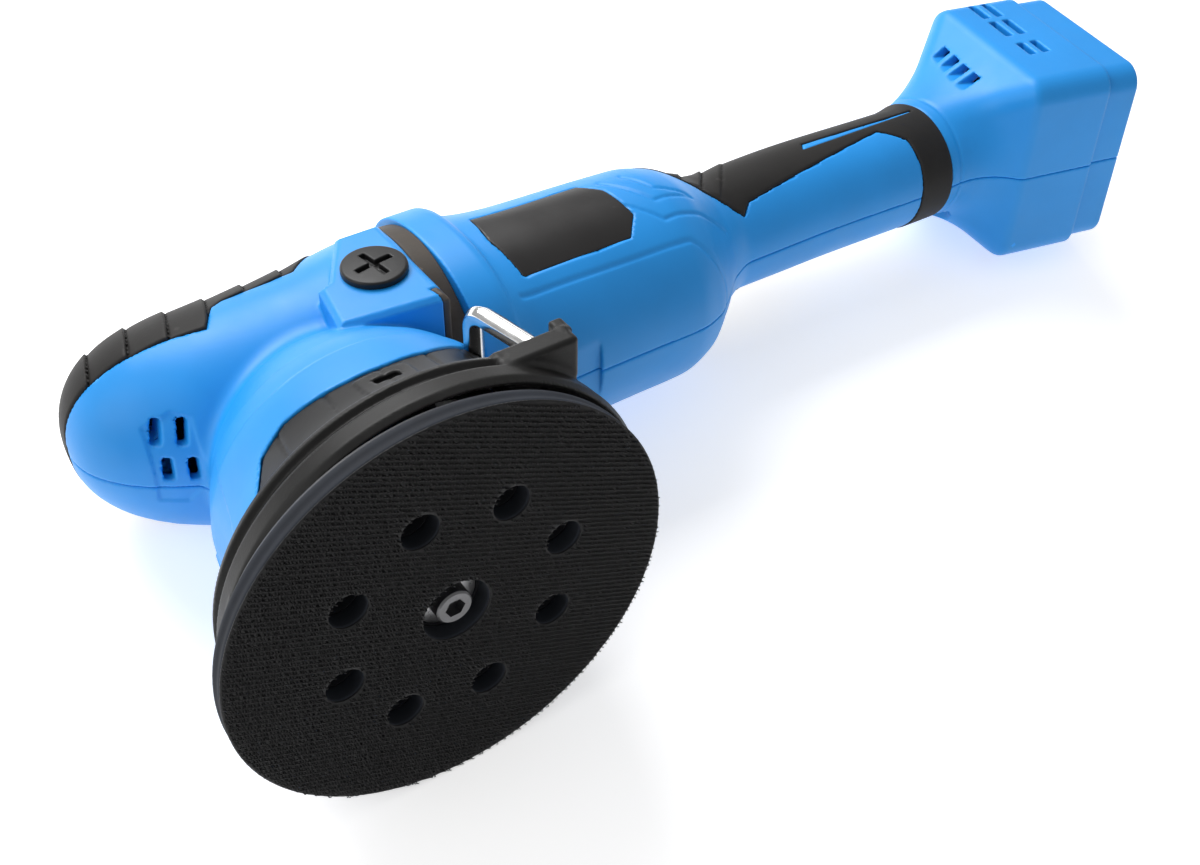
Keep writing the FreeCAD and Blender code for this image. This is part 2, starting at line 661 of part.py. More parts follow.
def bevel_gear(teeth, cone_angle, bore, hub_radius, hub_length, first_tooth):
    """A straight bevel gear about Z with its pitch apex at the origin and its teeth below it."""
    outer_distance = module.value * teeth / 2 / math.sin(cone_angle)
    inner_distance = outer_distance - face_width.value
    along = V(math.sin(cone_angle), 0, -math.cos(cone_angle))
    outward = V(math.cos(cone_angle), 0, math.sin(cone_angle))
    addendum, root = 0.85, 1.15

    def tooth_end(distance):
        scale = distance / outer_distance * module.value
        pitch = math.pi * scale
        corners = ((-root, 0.33), (0.0, 0.215), (addendum, 0.10))
        rising = [(depth * scale, half * pitch) for depth, half in corners]
        spots = [along * distance + outward * d + V(0, w, 0) for d, w in rising]
        spots += [along * distance + outward * d - V(0, w, 0) for d, w in reversed(rising)]
        return Part.makePolygon(spots + spots[:1])

    tooth = Part.makeLoft([tooth_end(outer_distance), tooth_end(inner_distance)], True, True)
    depth = (root - 0.2) * module.value
    near = along * inner_distance - outward * depth * inner_distance / outer_distance
    far = along * outer_distance - outward * depth
    back = far.z - hub_length
    profile = [V(bore, 0, near.z), V(near.x, 0, near.z), V(far.x, 0, far.z), V(far.x, 0, far.z - 1.5),
               V(hub_radius, 0, back), V(bore, 0, back)]
    if bore >= near.x:
        raise ValueError("the bore is wider than the inner end of the gear")
    blank = Part.Face(Part.makePolygon(profile + profile[:1])).revolve(V(0, 0, 0), V(0, 0, 1), 360)
    copies = []
    for number in range(teeth):
        copy = tooth.copy()
        copy.rotate(V(0, 0, 0), V(0, 0, 1), (first_tooth + number) * 360.0 / teeth)
        copies.append(copy)
    return blank.multiFuse(copies).removeSplitter()


bevel = doc.addObject("Part::Feature", "bevel_gear")
bevel.Shape = bevel_gear(GEAR_TEETH, pitch_angle, gear_bore.value, 12.0, 9.0, 0.5)
bevel.Placement = FreeCAD.Placement(V(0, 0, motor_z.value), FreeCAD.Rotation())
bevel.setExpression("Placement.Base.z", motor_z.text)
pinion = doc.addObject("Part::Feature", "pinion_gear")
pinion.Shape = bevel_gear(PINION_TEETH, math.pi / 2 - pitch_angle, rotor_radius.value, 6.5, 3.0, 0.0)
pinion.Placement = FreeCAD.Placement(V(0, 0, motor_z.value), FreeCAD.Rotation(V(0, 1, 0), -90.0))
pinion.setExpression("Placement.Base.z", motor_z.text)

# ---------------------------------------------------------------- pad group

foam_low = hook_thick
plate_low = hook_thick + foam_thick
plate_high = plate_low + plate_thick
hub_top = dim("pad_hub_top", 20.0)

HOLE_TURN = 31.1  # degrees from +X to the first dust hole
hook = drilled(turned("hook_face", [(recess_radius, 0), (pad_radius, 0), (pad_radius, hook_thick),
                                    (recess_radius, hook_thick)], pad_x),
               "hook_hole", hole_radius, hole_circle, 8, HOLE_TURN)
foam = drilled(turned("foam_layer", [(recess_radius, foam_low), (pad_radius, foam_low),
                                     (pad_radius - 1.4, plate_low), (recess_radius, plate_low)], pad_x),
               "foam_hole", hole_radius, hole_circle, 8, HOLE_TURN)
plate_body = drilled(turned("backing_plate", [
    (3.1, plate_low + 1.4), (9.0, plate_low + 1.4), (9.0, plate_low), (pad_radius - 1.6, plate_low),
    (pad_radius - 2.6, plate_high - 0.8), (pad_radius - 7.0, plate_high), (16.0, plate_high),
    (14.0, hub_top), (8.0, hub_top), (8.0, hub_top - 7.0), (3.1, hub_top - 7.0)], pad_x),
                     "plate_hole", hole_radius, hole_circle, 8, HOLE_TURN)
output = turned("output_spindle", [
    (3.0, hub_top - 7.0), (8.0, hub_top - 7.0), (8.0, hub_top), (11.5, hub_top), (11.5, hub_top + 2.5),
    (8.5, hub_top + 2.5), (8.5, weight_low + 1.8), (shaft_radius, weight_low + 1.8),
    (shaft_radius, weight_low + 12.5), (0, weight_low + 12.5), (0, hub_top + 4.0), (3.0, hub_top + 4.0)],
                pad_x)
washer = turned("pad_washer", [(3.15, plate_low), (8.6, plate_low), (8.6, plate_low + 1.4),
                               (3.15, plate_low + 1.4)], pad_x)
screw_blank = turned("pad_screw_blank", [
    (0, plate_low - 5.0), (4.6, plate_low - 5.0), (5.1, plate_low - 4.5), (5.1, plate_low), (3.0, plate_low),
    (3.0, hub_top + 3.0), (0, hub_top + 3.0)], pad_x)
screw_socket = prism("pad_screw_socket", 6, key_radius, 2.8, pad_x, 0, plate_low - 5.0)
pad_screw = cut("pad_screw", screw_blank, screw_socket)

# ---------------------------------------------------------------- motor

can_start = dim("motor_can_start", 68.0)
can_end = dim("motor_can_end", 118.0)
can_radius = dim("motor_can_radius", 27.0)
can_length = can_end - can_start

can_drum = cylinder("can_drum", can_radius, can_length, can_start, 0, motor_z, "x")
can_boss = cylinder("can_boss", 11.0, 7.0, can_end, 0, motor_z, "x")
can_hollow = cylinder("can_hollow", can_radius - 1.8, can_length - 3.6, can_start + 1.8, 0, motor_z, "x")
can_front = cylinder("can_front", 15.0, 4.0, can_start - 1.0, 0, motor_z, "x")
can_seat = cylinder("can_seat", 9.0, 8.0, can_end - 1.8, 0, motor_z, "x")
motor_can = cut("motor_can", fuse("can_stock", can_drum, can_boss), can_hollow, can_front, can_seat)
rear_bearing = bearing("rear_motor_bearing", size(3.0) + play, 9.0, 6.0, can_end, 0, motor_z, "x")

magnet_start = can_start + 5.0
magnet_ring = cut("magnet_ring",
                  cylinder("magnet_out", can_radius - 1.8, 31.0, magnet_start, 0, motor_z, "x"),
                  cylinder("magnet_in", can_radius - 6.0, 31.0, magnet_start, 0, motor_z, "x"))
magnet_gap = box("magnet_gap", 40.0, 14.0, 80.0, magnet_start - 4.0, -7.0, motor_z - 40.0)
magnets = cut("motor_magnets", magnet_ring, magnet_gap)

rotor_shaft = fuse("rotor_shaft",
                   cylinder("rotor_shaft_main", rotor_radius, 98.5, 19.0, 0, motor_z, "x"),
                   cylinder("rotor_shaft_tail", 3.0, 6.5, 117.5, 0, motor_z, "x"))
core_drum = cylinder("core_drum", can_radius - 6.6, 29.0, magnet_start + 1.0, 0, motor_z, "x")
core_bore = cylinder("core_bore", rotor_radius, 29.0, magnet_start + 1.0, 0, motor_z, "x")
core_slots = []
for number in range(12):
    angle = math.radians(30.0 * number)
    slot_y = (can_radius - 8.0) * math.cos(angle)
    slot_z = motor_z + (can_radius - 8.0) * math.sin(angle)
    core_slots.append(cylinder("core_slot%d" % number, 2.2, 29.0, magnet_start + 1.0, slot_y, slot_z, "x"))
rotor_core = cut("rotor_core", core_drum, core_bore, *core_slots)
commutator = cut("commutator", cylinder("commutator_drum", 9.5, 9.0, 105.0, 0, motor_z, "x"),
                 cylinder("commutator_bore", rotor_radius, 9.0, 105.0, 0, motor_z, "x"))
brush_posts = []
for side in (-1, 1):
    start = size(9.7) if side > 0 else size(-24.0)
    brush_posts.append(box("brush_post%d" % side, 6.0, 14.3, 8.0, 106.5, start, motor_z - 4.0))
brushes = group("carbon_brushes", *brush_posts)

fan_start = dim("fan_start", 50.0)
fan_radius = dim("fan_radius", 27.5)
fan_parts = [cylinder("fan_disc", fan_radius, 1.6, fan_start, 0, motor_z, "x"),
             cylinder("fan_hub", 8.0, 12.0, fan_start, 0, motor_z, "x")]
for number in range(11):
    blade = doc.addObject("Part::Box", "fan_blade%d" % number)
    bind(blade, Length=9.0, Width=1.4, Height=fan_radius - 8.5)
    turn = FreeCAD.Rotation(V(1, 0, 0), number * 360.0 / 11)
    blade.Placement = FreeCAD.Placement(V(fan_start.value + 1.0, 0, motor_z.value)
                                        + turn.multVec(V(0, -0.7, 7.5)), turn)
    fan_parts.append(blade)
fan = cut("cooling_fan", fuse("fan_stock", *fan_parts),
          cylinder("fan_bore", rotor_radius, 14.0, fan_start - 1.0, 0, motor_z, "x"))

# ---------------------------------------------------------------- electrics in the handle

board = fuse("control_board",
             box("board_sheet", 56.0, 26.0, 1.6, 156.0, -13.0, 95.0),
             box("board_heatsink", 18.0, 16.0, 5.0, 158.0, -8.0, 89.0),
             box("board_foot", 18.0, 16.0, 1.2, 158.0, -8.0, 94.0),
             cylinder("board_capacitor", 4.0, 7.0, 203.0, 0, 96.0),
             cylinder("board_capacitor_b", 3.0, 6.0, 159.5, 7.0, 96.0))
switch_body = cut("switch_body",
                  box("switch_case", 30.0, 13.0, 11.0, button_x - 15.0, -6.5, 98.5),
                  box("switch_mouth", 14.0, 5.0, 6.0, button_x - 5.0, -2.5, 105.0))
button_top = dim("button_top", 124.0)
button_plate = rounded("button_plate",
                       centred_box("button_block", button_length, button_width, 9.0,
                                   button_x - button_length * 0.5, 0, button_top - 9.0), 1.5)
button_stem = centred_box("button_stem", 5.0, 4.0, 10.0, button_x - 2.5, 0, 106.0)
button = fuse("switch_button", button_plate, button_stem)

dial_wheel = cylinder("dial_wheel", dial_radius, dial_width, dial_x, dial_width * -0.5, dial_z, "y")
dial_notches = []
for number in range(16):
    angle = 2 * math.pi * number / 16
    dial_notches.append(cylinder("dial_notch%d" % number, 0.8, dial_width + 2.0,
                                 dial_x + dial_radius * math.cos(angle), dial_width * -0.5 - 1.0,
                                 dial_z + dial_radius * math.sin(angle), "y"))
dial_bore = cylinder("dial_bore", 2.5 + play.value, dial_width + 2.0, dial_x, dial_width * -0.5 - 1.0,
                     dial_z, "y")
dial = cut("speed_dial", dial_wheel, dial_bore, *dial_notches)
dial_post = fuse("speed_control",
                 box("speed_case", 10.0, 4.0, 16.0, dial_x - 5.0, 3.0, 97.0),
                 cylinder("speed_pin", 2.5, 6.0, dial_x, -2.8, dial_z, "y"))

terminal = socket_box("terminal_block", 16.0, 36.0, 26.0, V(-35.0, -18.0, -6.0))
blades = [socket_box("blade%d" % i, 12.0, 0.8, 8.0, V(-19.0, -14.4 + 7.0 * i, 2.0)) for i in range(5)]
terminal_blades = group("terminal_blades", *blades)
rails = group("guide_rails", *[socket_box("rail%d" % s, 11.5, 2.5, 6.0, V(-12.0, y, -18.0))
                               for s, y in ((0, -30.6), (1, 28.1))])

wire_radius = dim("wire_radius", 1.1)


def wire(name, points):
    """An insulated lead that follows a smooth path through the given places."""
    path = doc.addObject("Part::Feature", name + "_path")
    curve = Part.BSplineCurve()
    curve.interpolate([V(*p) for p in points])
    path.Shape = Part.Wire([curve.toShape()])
    ring = doc.addObject("Part::Circle", name + "_ring")
    bind(ring, Radius=wire_radius)
    first = curve.value(curve.FirstParameter)
    heading = curve.tangent(curve.FirstParameter)[0]
    ring.Placement = FreeCAD.Placement(first, FreeCAD.Rotation(V(0, 0, 1), heading))
    obj = doc.addObject("Part::Sweep", name)
    obj.Sections = [ring]
    obj.Spine = (path, ["Edge1"])
    obj.Solid = True
    obj.Frenet = False
    return obj


leads = []
for number, side in enumerate((-1, 1)):
    leads.append(wire("battery_lead%d" % number,
                      [(279.5, 8.0 * side, 101.0), (265.0, 10.0 * side, 97.5), (245.0, 12.0 * side, 93.0),
                       (216.0, 11.0 * side, 92.0)]))
    leads.append(wire("motor_lead%d" % number,
                      [(150.0, 9.0 * side, 95.8), (140.0, 11.0 * side, 97.0), (130.0, 15.0 * side, 95.0),
                       (121.0, 17.0 * side, 92.0)]))
wiring = group("wiring", *leads)

screws = []
for number, (x, z) in enumerate(screw_rows):
    shank = cylinder("case_shank%d" % number, screw_radius, 28.0, x, -14.0, z, "y")
    head = cylinder("case_head%d" % number, screw_head_radius, 2.6, x, SCREW_HEAD_Y, z, "y")
    drive = prism("case_drive%d" % number, 6, 1.5, 1.8, x, SCREW_HEAD_Y + 1.2, z, "y")
    screws.append(cut("case_screw%d" % number, fuse("case_blank%d" % number, shank, head), drive))
housing_screws = group("housing_screws", *screws)

# ---------------------------------------------------------------- names, checks and files

NODES = {
    "left_shell": left_shell, "right_shell": right_shell, "front_grip": front_grip, "rear_grip": rear_grip,
    "strap_band": strap, "label_plate": plate, "left_plug": left_plug, "right_plug": right_plug,
    "neck_skirt": throat, "shroud_ring": shroud, "hex_key": key, "gear_housing": gear_case,
    "bearing_cover": cover, "cover_screws": cover_set, "lower_bearing": lower_bearing,
    "upper_bearing": upper_bearing, "front_motor_bearing": front_bearing, "motor_can": motor_can,
    "rear_motor_bearing": rear_bearing, "motor_magnets": magnets, "carbon_brushes": brushes,
    "rotor_shaft": rotor_shaft, "rotor_core": rotor_core, "commutator": commutator, "cooling_fan": fan,
    "pinion_gear": pinion, "bevel_gear": bevel, "drive_spindle": spindle, "counterweight": counterweight,
    "eccentric_bearing": eccentric_bearing, "output_spindle": output, "backing_plate": plate_body,
    "foam_layer": foam, "hook_face": hook, "pad_washer": washer, "pad_screw": pad_screw,
    "control_board": board, "switch_body": switch_body, "switch_button": button, "speed_dial": dial,
    "speed_control": dial_post, "terminal_block": terminal, "terminal_blades": terminal_blades,
    "guide_rails": rails, "wiring": wiring, "housing_screws": housing_screws,
}

doc.recompute()
for obj in doc.Objects:
    if "Invalid" in obj.State or "Error" in obj.State:
        raise RuntimeError("%s did not compute" % obj.Name)
for name, obj in NODES.items():
    if obj.Shape.isNull() or not obj.Shape.isValid() or not obj.Shape.Solids:
        raise RuntimeError("%s has no valid solid" % name)
os.makedirs("parts", exist_ok=True)
# The model is laid out from the drive spindle. Its origin is the centre of the pad's working face.
to_pad_centre = V(eccentricity.value, 0, 0)
for name, obj in NODES.items():
    obj.Label = name
    shape = obj.Shape.copy()
    shape.translate(to_pad_centre)
    shape.exportStep("parts/%s.step" % name)
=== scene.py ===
import json
import math

import bpy
import numpy as np
from mathutils import Matrix, Vector

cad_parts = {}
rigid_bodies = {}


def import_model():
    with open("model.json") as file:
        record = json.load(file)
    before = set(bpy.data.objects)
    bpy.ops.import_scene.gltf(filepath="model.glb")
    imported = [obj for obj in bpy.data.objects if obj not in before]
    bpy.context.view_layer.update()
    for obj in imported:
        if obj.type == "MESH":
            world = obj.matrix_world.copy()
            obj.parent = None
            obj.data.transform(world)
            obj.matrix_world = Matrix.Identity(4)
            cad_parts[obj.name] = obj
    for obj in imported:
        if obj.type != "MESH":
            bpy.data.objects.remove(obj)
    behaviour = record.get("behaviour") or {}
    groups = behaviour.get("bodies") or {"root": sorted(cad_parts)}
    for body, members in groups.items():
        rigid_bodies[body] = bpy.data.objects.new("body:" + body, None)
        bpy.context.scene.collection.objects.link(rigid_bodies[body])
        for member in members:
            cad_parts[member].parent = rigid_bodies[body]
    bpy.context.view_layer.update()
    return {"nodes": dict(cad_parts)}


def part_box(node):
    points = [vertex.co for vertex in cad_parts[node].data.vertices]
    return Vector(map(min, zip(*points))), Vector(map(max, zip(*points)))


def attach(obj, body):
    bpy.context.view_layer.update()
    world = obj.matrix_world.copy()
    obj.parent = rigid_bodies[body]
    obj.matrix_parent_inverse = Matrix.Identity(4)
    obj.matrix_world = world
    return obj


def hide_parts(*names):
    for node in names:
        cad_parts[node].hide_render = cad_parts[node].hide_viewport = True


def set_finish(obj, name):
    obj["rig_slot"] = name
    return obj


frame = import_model()

# Lengths are in millimetres from the drive spindle's axis at the height of the pad's working face: +Z up
# the spindle, +X towards the battery socket, -Y the side with the data plate. Only the floors and lights,
# at the end, are in the frame's own metres.
MM = 0.001
# What a distance field gives where it isn't worked out.
FAR = 50.0
spindle_low, spindle_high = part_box("drive_spindle")
# Where that axis stands in the frame, whose own origin is the centre of the pad's working face.
SPINDLE = np.array([(spindle_low[0] + spindle_high[0]) / 2 / MM, 0.0, 0.0])

# ---------------- distance-field helpers


def smin(a, b, k):
    """Union of two fields with a fillet of about k."""
    h = np.maximum(k - np.abs(a - b), 0.0) / k
    return np.minimum(a, b) - h * h * k * 0.25


def smax(a, b, k):
    """Intersection of two fields with a rounded edge of about k."""
    return -smin(-a, -b, k)


def ramp(value, low, high):
    """Smooth step from 0 at low to 1 at high."""
    t = np.clip((value - low) / (high - low), 0.0, 1.0)
    return t * t * (3.0 - 2.0 * t)


def ridge(distance, width):
    """Bell curve, 1 on the line and nearly 0 one width away."""
    return np.exp(-2.5 * (distance / width) ** 2)


def segment(u, v, start, end):
    """Squared distance to a segment in two coordinates."""
    eu, ev = end[0] - start[0], end[1] - start[1]
    wu, wv = u - start[0], v - start[1]
    t = np.clip((wu * eu + wv * ev) / (eu * eu + ev * ev), 0.0, 1.0)
    return (wu - eu * t) ** 2 + (wv - ev * t) ** 2


def polyline(u, v, points):
    """Distance to an open chain of segments in two coordinates."""
    return np.sqrt(np.minimum.reduce([segment(u, v, a, b) for a, b in zip(points, points[1:])]))


def polygon(u, v, points):
    """Signed distance to a closed outline in two coordinates, negative inside."""
    sign = np.ones(u.shape)
    for (au, av), (bu, bv) in zip(points, points[1:] + points[:1]):
        above, below = v >= bv, v < av
        left = (au - bu) * (v - bv) > (av - bv) * (u - bu)
        sign = np.where((above & below & left) | ~(above | below | left), -sign, sign)
    return sign * polyline(u, v, points + points[:1])


def box2(u, v, cu, cv, hu, hv, r=0.0):
    """Signed distance to a rounded rectangle in two coordinates."""
    du, dv = np.abs(u - cu) - hu + r, np.abs(v - cv) - hv + r
    return np.hypot(np.maximum(du, 0.0), np.maximum(dv, 0.0)) + np.minimum(np.maximum(du, dv), 0.0) - r


def box3(x, y, z, centre, half, r=0.0):
    """Signed distance to a rounded box."""
    dx = np.abs(x - centre[0]) - half[0] + r
    dy = np.abs(y - centre[1]) - half[1] + r
    dz = np.abs(z - centre[2]) - half[2] + r
    outside = np.sqrt(np.maximum(dx, 0.0) ** 2 + np.maximum(dy, 0.0) ** 2 + np.maximum(dz, 0.0) ** 2)
    return outside + np.minimum(np.maximum(np.maximum(dx, dy), dz), 0.0) - r


def only(mask, function):
    """Evaluates function on the points of the mask and gives FAR elsewhere."""
    out = np.full(mask.shape, FAR)
    if mask.any():
        out[mask] = function(mask)
    return out


def smooth_rows(rows, step):
    """Monotone cubic interpolation of a table: (first abscissa, samples every step)."""
    rows = np.array(rows, float)
    x, y = rows[:, 0], rows[:, 1:]
    h = np.diff(x)[:, None]
    slope = np.diff(y, axis=0) / h
    tangent = np.zeros_like(y)
    tangent[0], tangent[-1] = slope[0], slope[-1]
    same = slope[1:] * slope[:-1] > 0
    w1, w2 = 2 * h[1:] + h[:-1], h[1:] + 2 * h[:-1]
    safe = np.where(same, slope[:-1], 1.0), np.where(same, slope[1:], 1.0)
    tangent[1:-1] = np.where(same, (w1 + w2) / (w1 / safe[0] + w2 / safe[1]), 0.0)
    at = np.arange(x[0], x[-1] + step, step)
    i = np.clip(np.searchsorted(x, at, side="right") - 1, 0, len(x) - 2)
    t = np.clip((at - x[i]) / (x[i + 1] - x[i]), 0.0, 1.0)[:, None]
    hi = h[i]
    value = ((1 + 2 * t) * (1 - t) ** 2 * y[i] + t * (1 - t) ** 2 * hi * tangent[i]
             + t * t * (3 - 2 * t) * y[i + 1] + t * t * (t - 1) * hi * tangent[i + 1])
    return at[0], value


TABLE_STEP = 0.25
# The least squared half size of a loft, and the steepest lean that its distance allows for.
THINNEST_SQUARED = 0.04
STEEPEST = 4.0


class Tube:
    """Distance to a loft of ellipses along X. Rows are (x, centre z, half width, half height)."""

    def __init__(self, rows, power=2.0):
        rows = np.array(rows, float)
        squared = rows.copy()
        squared[:, 2:4] **= 2
        self.low, table = smooth_rows(squared, TABLE_STEP)
        table[:, 1:3] = np.sqrt(np.maximum(table[:, 1:3], THINNEST_SQUARED))
        self.table = np.hstack([table, np.gradient(table, TABLE_STEP, axis=0)])
        self.start, self.end = rows[0, 0], rows[-1, 0]
        self.power = power

    def __call__(self, x, y, z):
        s = np.clip((x - self.low) / TABLE_STEP, 0, len(self.table) - 1.001)
        i = s.astype(int)
        t = (s - i)[:, None]
        row = self.table[i] * (1 - t) + self.table[i + 1] * t
        zc, a, b, dzc, da, db = row.T
        dz = z - zc
        rho = np.hypot(y, dz) + 1e-6
        if self.power == 2.0:
            g = np.hypot(y / a, dz / b) + 1e-9
        else:
            g = (np.abs(y / a) ** self.power + np.abs(dz / b) ** self.power) ** (1 / self.power) + 1e-9
        d = rho - rho / g
        c, sn = (y / rho) ** 2, dz / rho
        lean = np.clip(da * c + db * sn * sn + dzc * sn, -STEEPEST, STEEPEST)
        d = d / np.sqrt(1.0 + lean * lean)
        return np.maximum(d, np.maximum(self.start - x, x - self.end))


# ---------------- meshing a field

# A field is sampled in blocks of cells, and only in those that its surface may cross.
BLOCK = 8
BLOCKS_AT_ONCE = 1500
REACH_SLACK = 1.35
SETTLE_STEPS = 3
# A quick draft has larger cells.
DRAFT = 1.0
CORNERS = np.array([(i, j, k) for i in (0, 1) for j in (0, 1) for k in (0, 1)])
EDGES = [(a, b) for a in range(8) for b in range(a + 1, 8)
         if np.abs(CORNERS[a] - CORNERS[b]).sum() == 1]


def net(field, low, high, cell):
    """Surface net of the field's zero level in a box: (vertices in mm, quads)."""
    low, high = np.array(low, float), np.array(high, float)
    size = cell * BLOCK
    n = np.ceil((high - low) / size).astype(int)
    grid = np.stack(np.meshgrid(*[np.arange(m) for m in n], indexing="ij"), -1).reshape(-1, 3)
    centre = low + (grid + 0.5) * size
    reach = size * math.sqrt(3.0) / 2 * REACH_SLACK
    grid = grid[np.abs(field(centre)) < reach]
    axis = np.arange(BLOCK + 1)
    local = np.stack(np.meshgrid(axis, axis, axis, indexing="ij"), -1).reshape(-1, 3)
    stride = n * BLOCK + 3
    found_at, found_value = [], []
    for first in range(0, len(grid), BLOCKS_AT_ONCE):
        part = grid[first:first + BLOCKS_AT_ONCE]
        index = part[:, None, :] * BLOCK + local
        value = field(low + index.reshape(-1, 3) * cell)
        value = value.reshape(-1, BLOCK + 1, BLOCK + 1, BLOCK + 1)
        inside = value < 0
        count = np.zeros((len(part), BLOCK, BLOCK, BLOCK), np.int8)
        for i, j, k in CORNERS:
            count += inside[:, i:i + BLOCK, j:j + BLOCK, k:k + BLOCK]
        b, i, j, k = np.nonzero((count > 0) & (count < len(CORNERS)))
        found_at.append(part[b] * BLOCK + np.stack([i, j, k], 1))
        found_value.append(np.stack([value[b, i + di, j + dj, k + dk] for di, dj, dk in CORNERS], 1))
    at, value = np.concatenate(found_at), np.concatenate(found_value)
    key = (at[:, 0] * stride[1] + at[:, 1]) * stride[2] + at[:, 2]
    order = np.argsort(key)
    key, at, value = key[order], at[order], value[order]
    total = np.zeros((len(at), 3))
    hits = np.zeros(len(at))
    for a, b in EDGES:
        va, vb = value[:, a], value[:, b]
        crosses = (va < 0) != (vb < 0)
        t = np.where(crosses, va / np.where(crosses, va - vb, 1.0), 0.0)[:, None]
        spot = CORNERS[a] + (CORNERS[b] - CORNERS[a]) * t
        total += np.where(crosses[:, None], spot, 0.0)
        hits += crosses
    point = low + (at + total / hits[:, None]) * cell
    quads = []
    for axis_number in range(3):
        u, v = (axis_number + 1) % 3, (axis_number + 2) % 3
        other = {0: 4, 1: 2, 2: 1}[axis_number]
        start_in = value[:, 0] < 0
        edge = np.nonzero(start_in != (value[:, other] < 0))[0]
        step = np.array([stride[1] * stride[2], stride[2], 1])
        cells = [key[edge] - step[u] - step[v], key[edge] - step[v], key[edge], key[edge] - step[u]]
        spots = [np.minimum(np.searchsorted(key, c), len(key) - 1) for c in cells]
        good = np.all([key[s] == c for s, c in zip(spots, cells)], axis=0)
        quad = np.stack(spots, 1)[good]
        flip = ~start_in[edge][good]
        quad[flip] = quad[flip][:, ::-1]
        quads.append(quad)
    quads = np.concatenate(quads)
    # The points then move onto the surface along the field's slope, a little at a time.
    probe, longest, flattest = cell * 0.2, cell * 0.4, 0.05
    for _ in range(SETTLE_STEPS):
        value = field(point)
        slope = np.stack([(field(point + probe * e) - field(point - probe * e)) / (2 * probe)
                          for e in np.eye(3)], 1)
        steep = np.maximum((slope ** 2).sum(1), flattest)
        move = -slope * (value / steep)[:, None]
        length = np.sqrt((move ** 2).sum(1))
        move *= np.minimum(1.0, longest / np.maximum(length, 1e-9))[:, None]
        point = point + move
    return point, quads


def mesh_object(name, point, faces, smooth=True):
    """A Blender object from vertices in mm and faces that all have the same number of corners."""
    mesh = bpy.data.meshes.new(name)
    faces = np.asarray(faces, np.int32)
    corner = faces.shape[1]
    mesh.vertices.add(len(point))
    mesh.vertices.foreach_set("co", ((np.asarray(point) + SPINDLE) * MM).astype(np.float32).ravel())
    mesh.loops.add(faces.size)
    mesh.loops.foreach_set("vertex_index", faces.ravel())
    mesh.polygons.add(len(faces))
    mesh.polygons.foreach_set("loop_start", np.arange(len(faces), dtype=np.int32) * corner)
    mesh.polygons.foreach_set("use_smooth", np.full(len(faces), smooth))
    mesh.update(calc_edges=True)
    mesh.validate()
    obj = bpy.data.objects.new(name, mesh)
    bpy.context.scene.collection.objects.link(obj)
    return obj


def place(obj, slot, node, body):
    """Rides a piece on a body and puts it in place of a CAD node."""
    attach(obj, body)
    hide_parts(node)
    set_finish(obj, slot)


def solid_piece(name, field, low, high, cell, slot, node, body="body"):
    """Meshes the surface of a field between two corners that clear it, and places it."""
    point, quads = net(field, low, high, cell * DRAFT)
    place(mesh_object(name, point, quads), slot, node, body)


def split(p):
    return p[:, 0], p[:, 1], p[:, 2]


# ---------------- casing: the outer form


def node_box(name):
    """Lowest and highest corner of a CAD node, in mm."""
    low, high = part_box(name)
    return np.array(low) / MM - SPINDLE, np.array(high) / MM - SPINDLE


def node_middle(name):
    low, high = node_box(name)
    return (low + high) / 2


def screw_axes(node, reach=12.0):
    """The (x, z) of each screw in a node of screws that lie along Y."""
    points = np.array([v.co for v in frame["nodes"][node].data.vertices]) / MM - SPINDLE
    rest = points[:, [0, 2]]
    axes = []
    while len(rest):
        close = np.hypot(*(rest - rest[0]).T) < reach
        group = rest[close]
        axes.append(tuple((group.min(0) + group.max(0)) / 2))
        rest = rest[~close]
    return axes


# Places taken from the frame.
SHELL_HIGH = node_box("left_shell")[1]
NOSE_TIP = node_box("front_grip")[0][0]
STRAP_LOW, STRAP_HIGH = node_box("strap_band")
HANDLE_END = node_box("rear_grip")[1][0]
PLATE_LOW, PLATE_HIGH = node_box("label_plate")
PLUG = tuple(node_middle("left_plug")[[0, 2]])
KEY_LOW, KEY_HIGH = node_box("hex_key")
# Half of the key's width across its flats.
KEY_HALF = 2.5
KEY_AT = (KEY_LOW[0] + KEY_HALF / math.cos(math.radians(30.0)), KEY_HIGH[2] - KEY_HALF)
BUTTON_LOW, BUTTON_HIGH = node_box("switch_button")
DIAL_AT = node_middle("speed_dial")[0]
SHROUD_ROUND = 0.15
SHROUD_RADIUS = node_box("shroud_ring")[1][0] - 0.2
SCREWS = screw_axes("housing_screws")
SCREW_SEAT = 14.0

# The casing runs through ellipses along X: (x, centre z, half width, half height).
HEAD_ROOT = (-15.0, 103.0, 33.0, 32.0)
NOSE_RISE = 8.0
NOSE_POWER = 2.3
NOSE_MARGIN = 1.3
NOSE_ANGLES = (90, 80, 65, 50, 35, 18)
HEAD_REST = (HEAD_ROOT, (5.0, 102.0, 34.5, 33.0), (33.0, 101.0, 38.5, 36.0), (43.0, 99.5, 39.0, 36.5),
             (54.0, 97.5, 37.5, 36.5), (75.0, 95.0, 36.5, 35.5), (100.0, 94.5, 36.0, 35.0))
SHOULDER_START = 118.0
SHOULDER_LENGTH = 36.0
SHOULDER_RISE = 6.5
SHOULDER_FRONT = (94.0, 35.5, 34.5)
SHOULDER_STEPS = 4
RISE_LAG = 1.4
HANDLE_HALF = 20.5
HANDLE = ((180.0, 100.5, 21.0, 20.5), (246.0, 98.0, 20.5, 20.5), (262.0, 98.5, 21.5, 21.0))


def around(centre, *offsets):
    """An outline given by its corners' offsets from a centre."""
    return tuple((centre[0] + a, centre[1] + b) for a, b in offsets)


def ease(t):
    """A smooth step from 0 to 1."""
    return t * t * (3.0 - 2.0 * t)


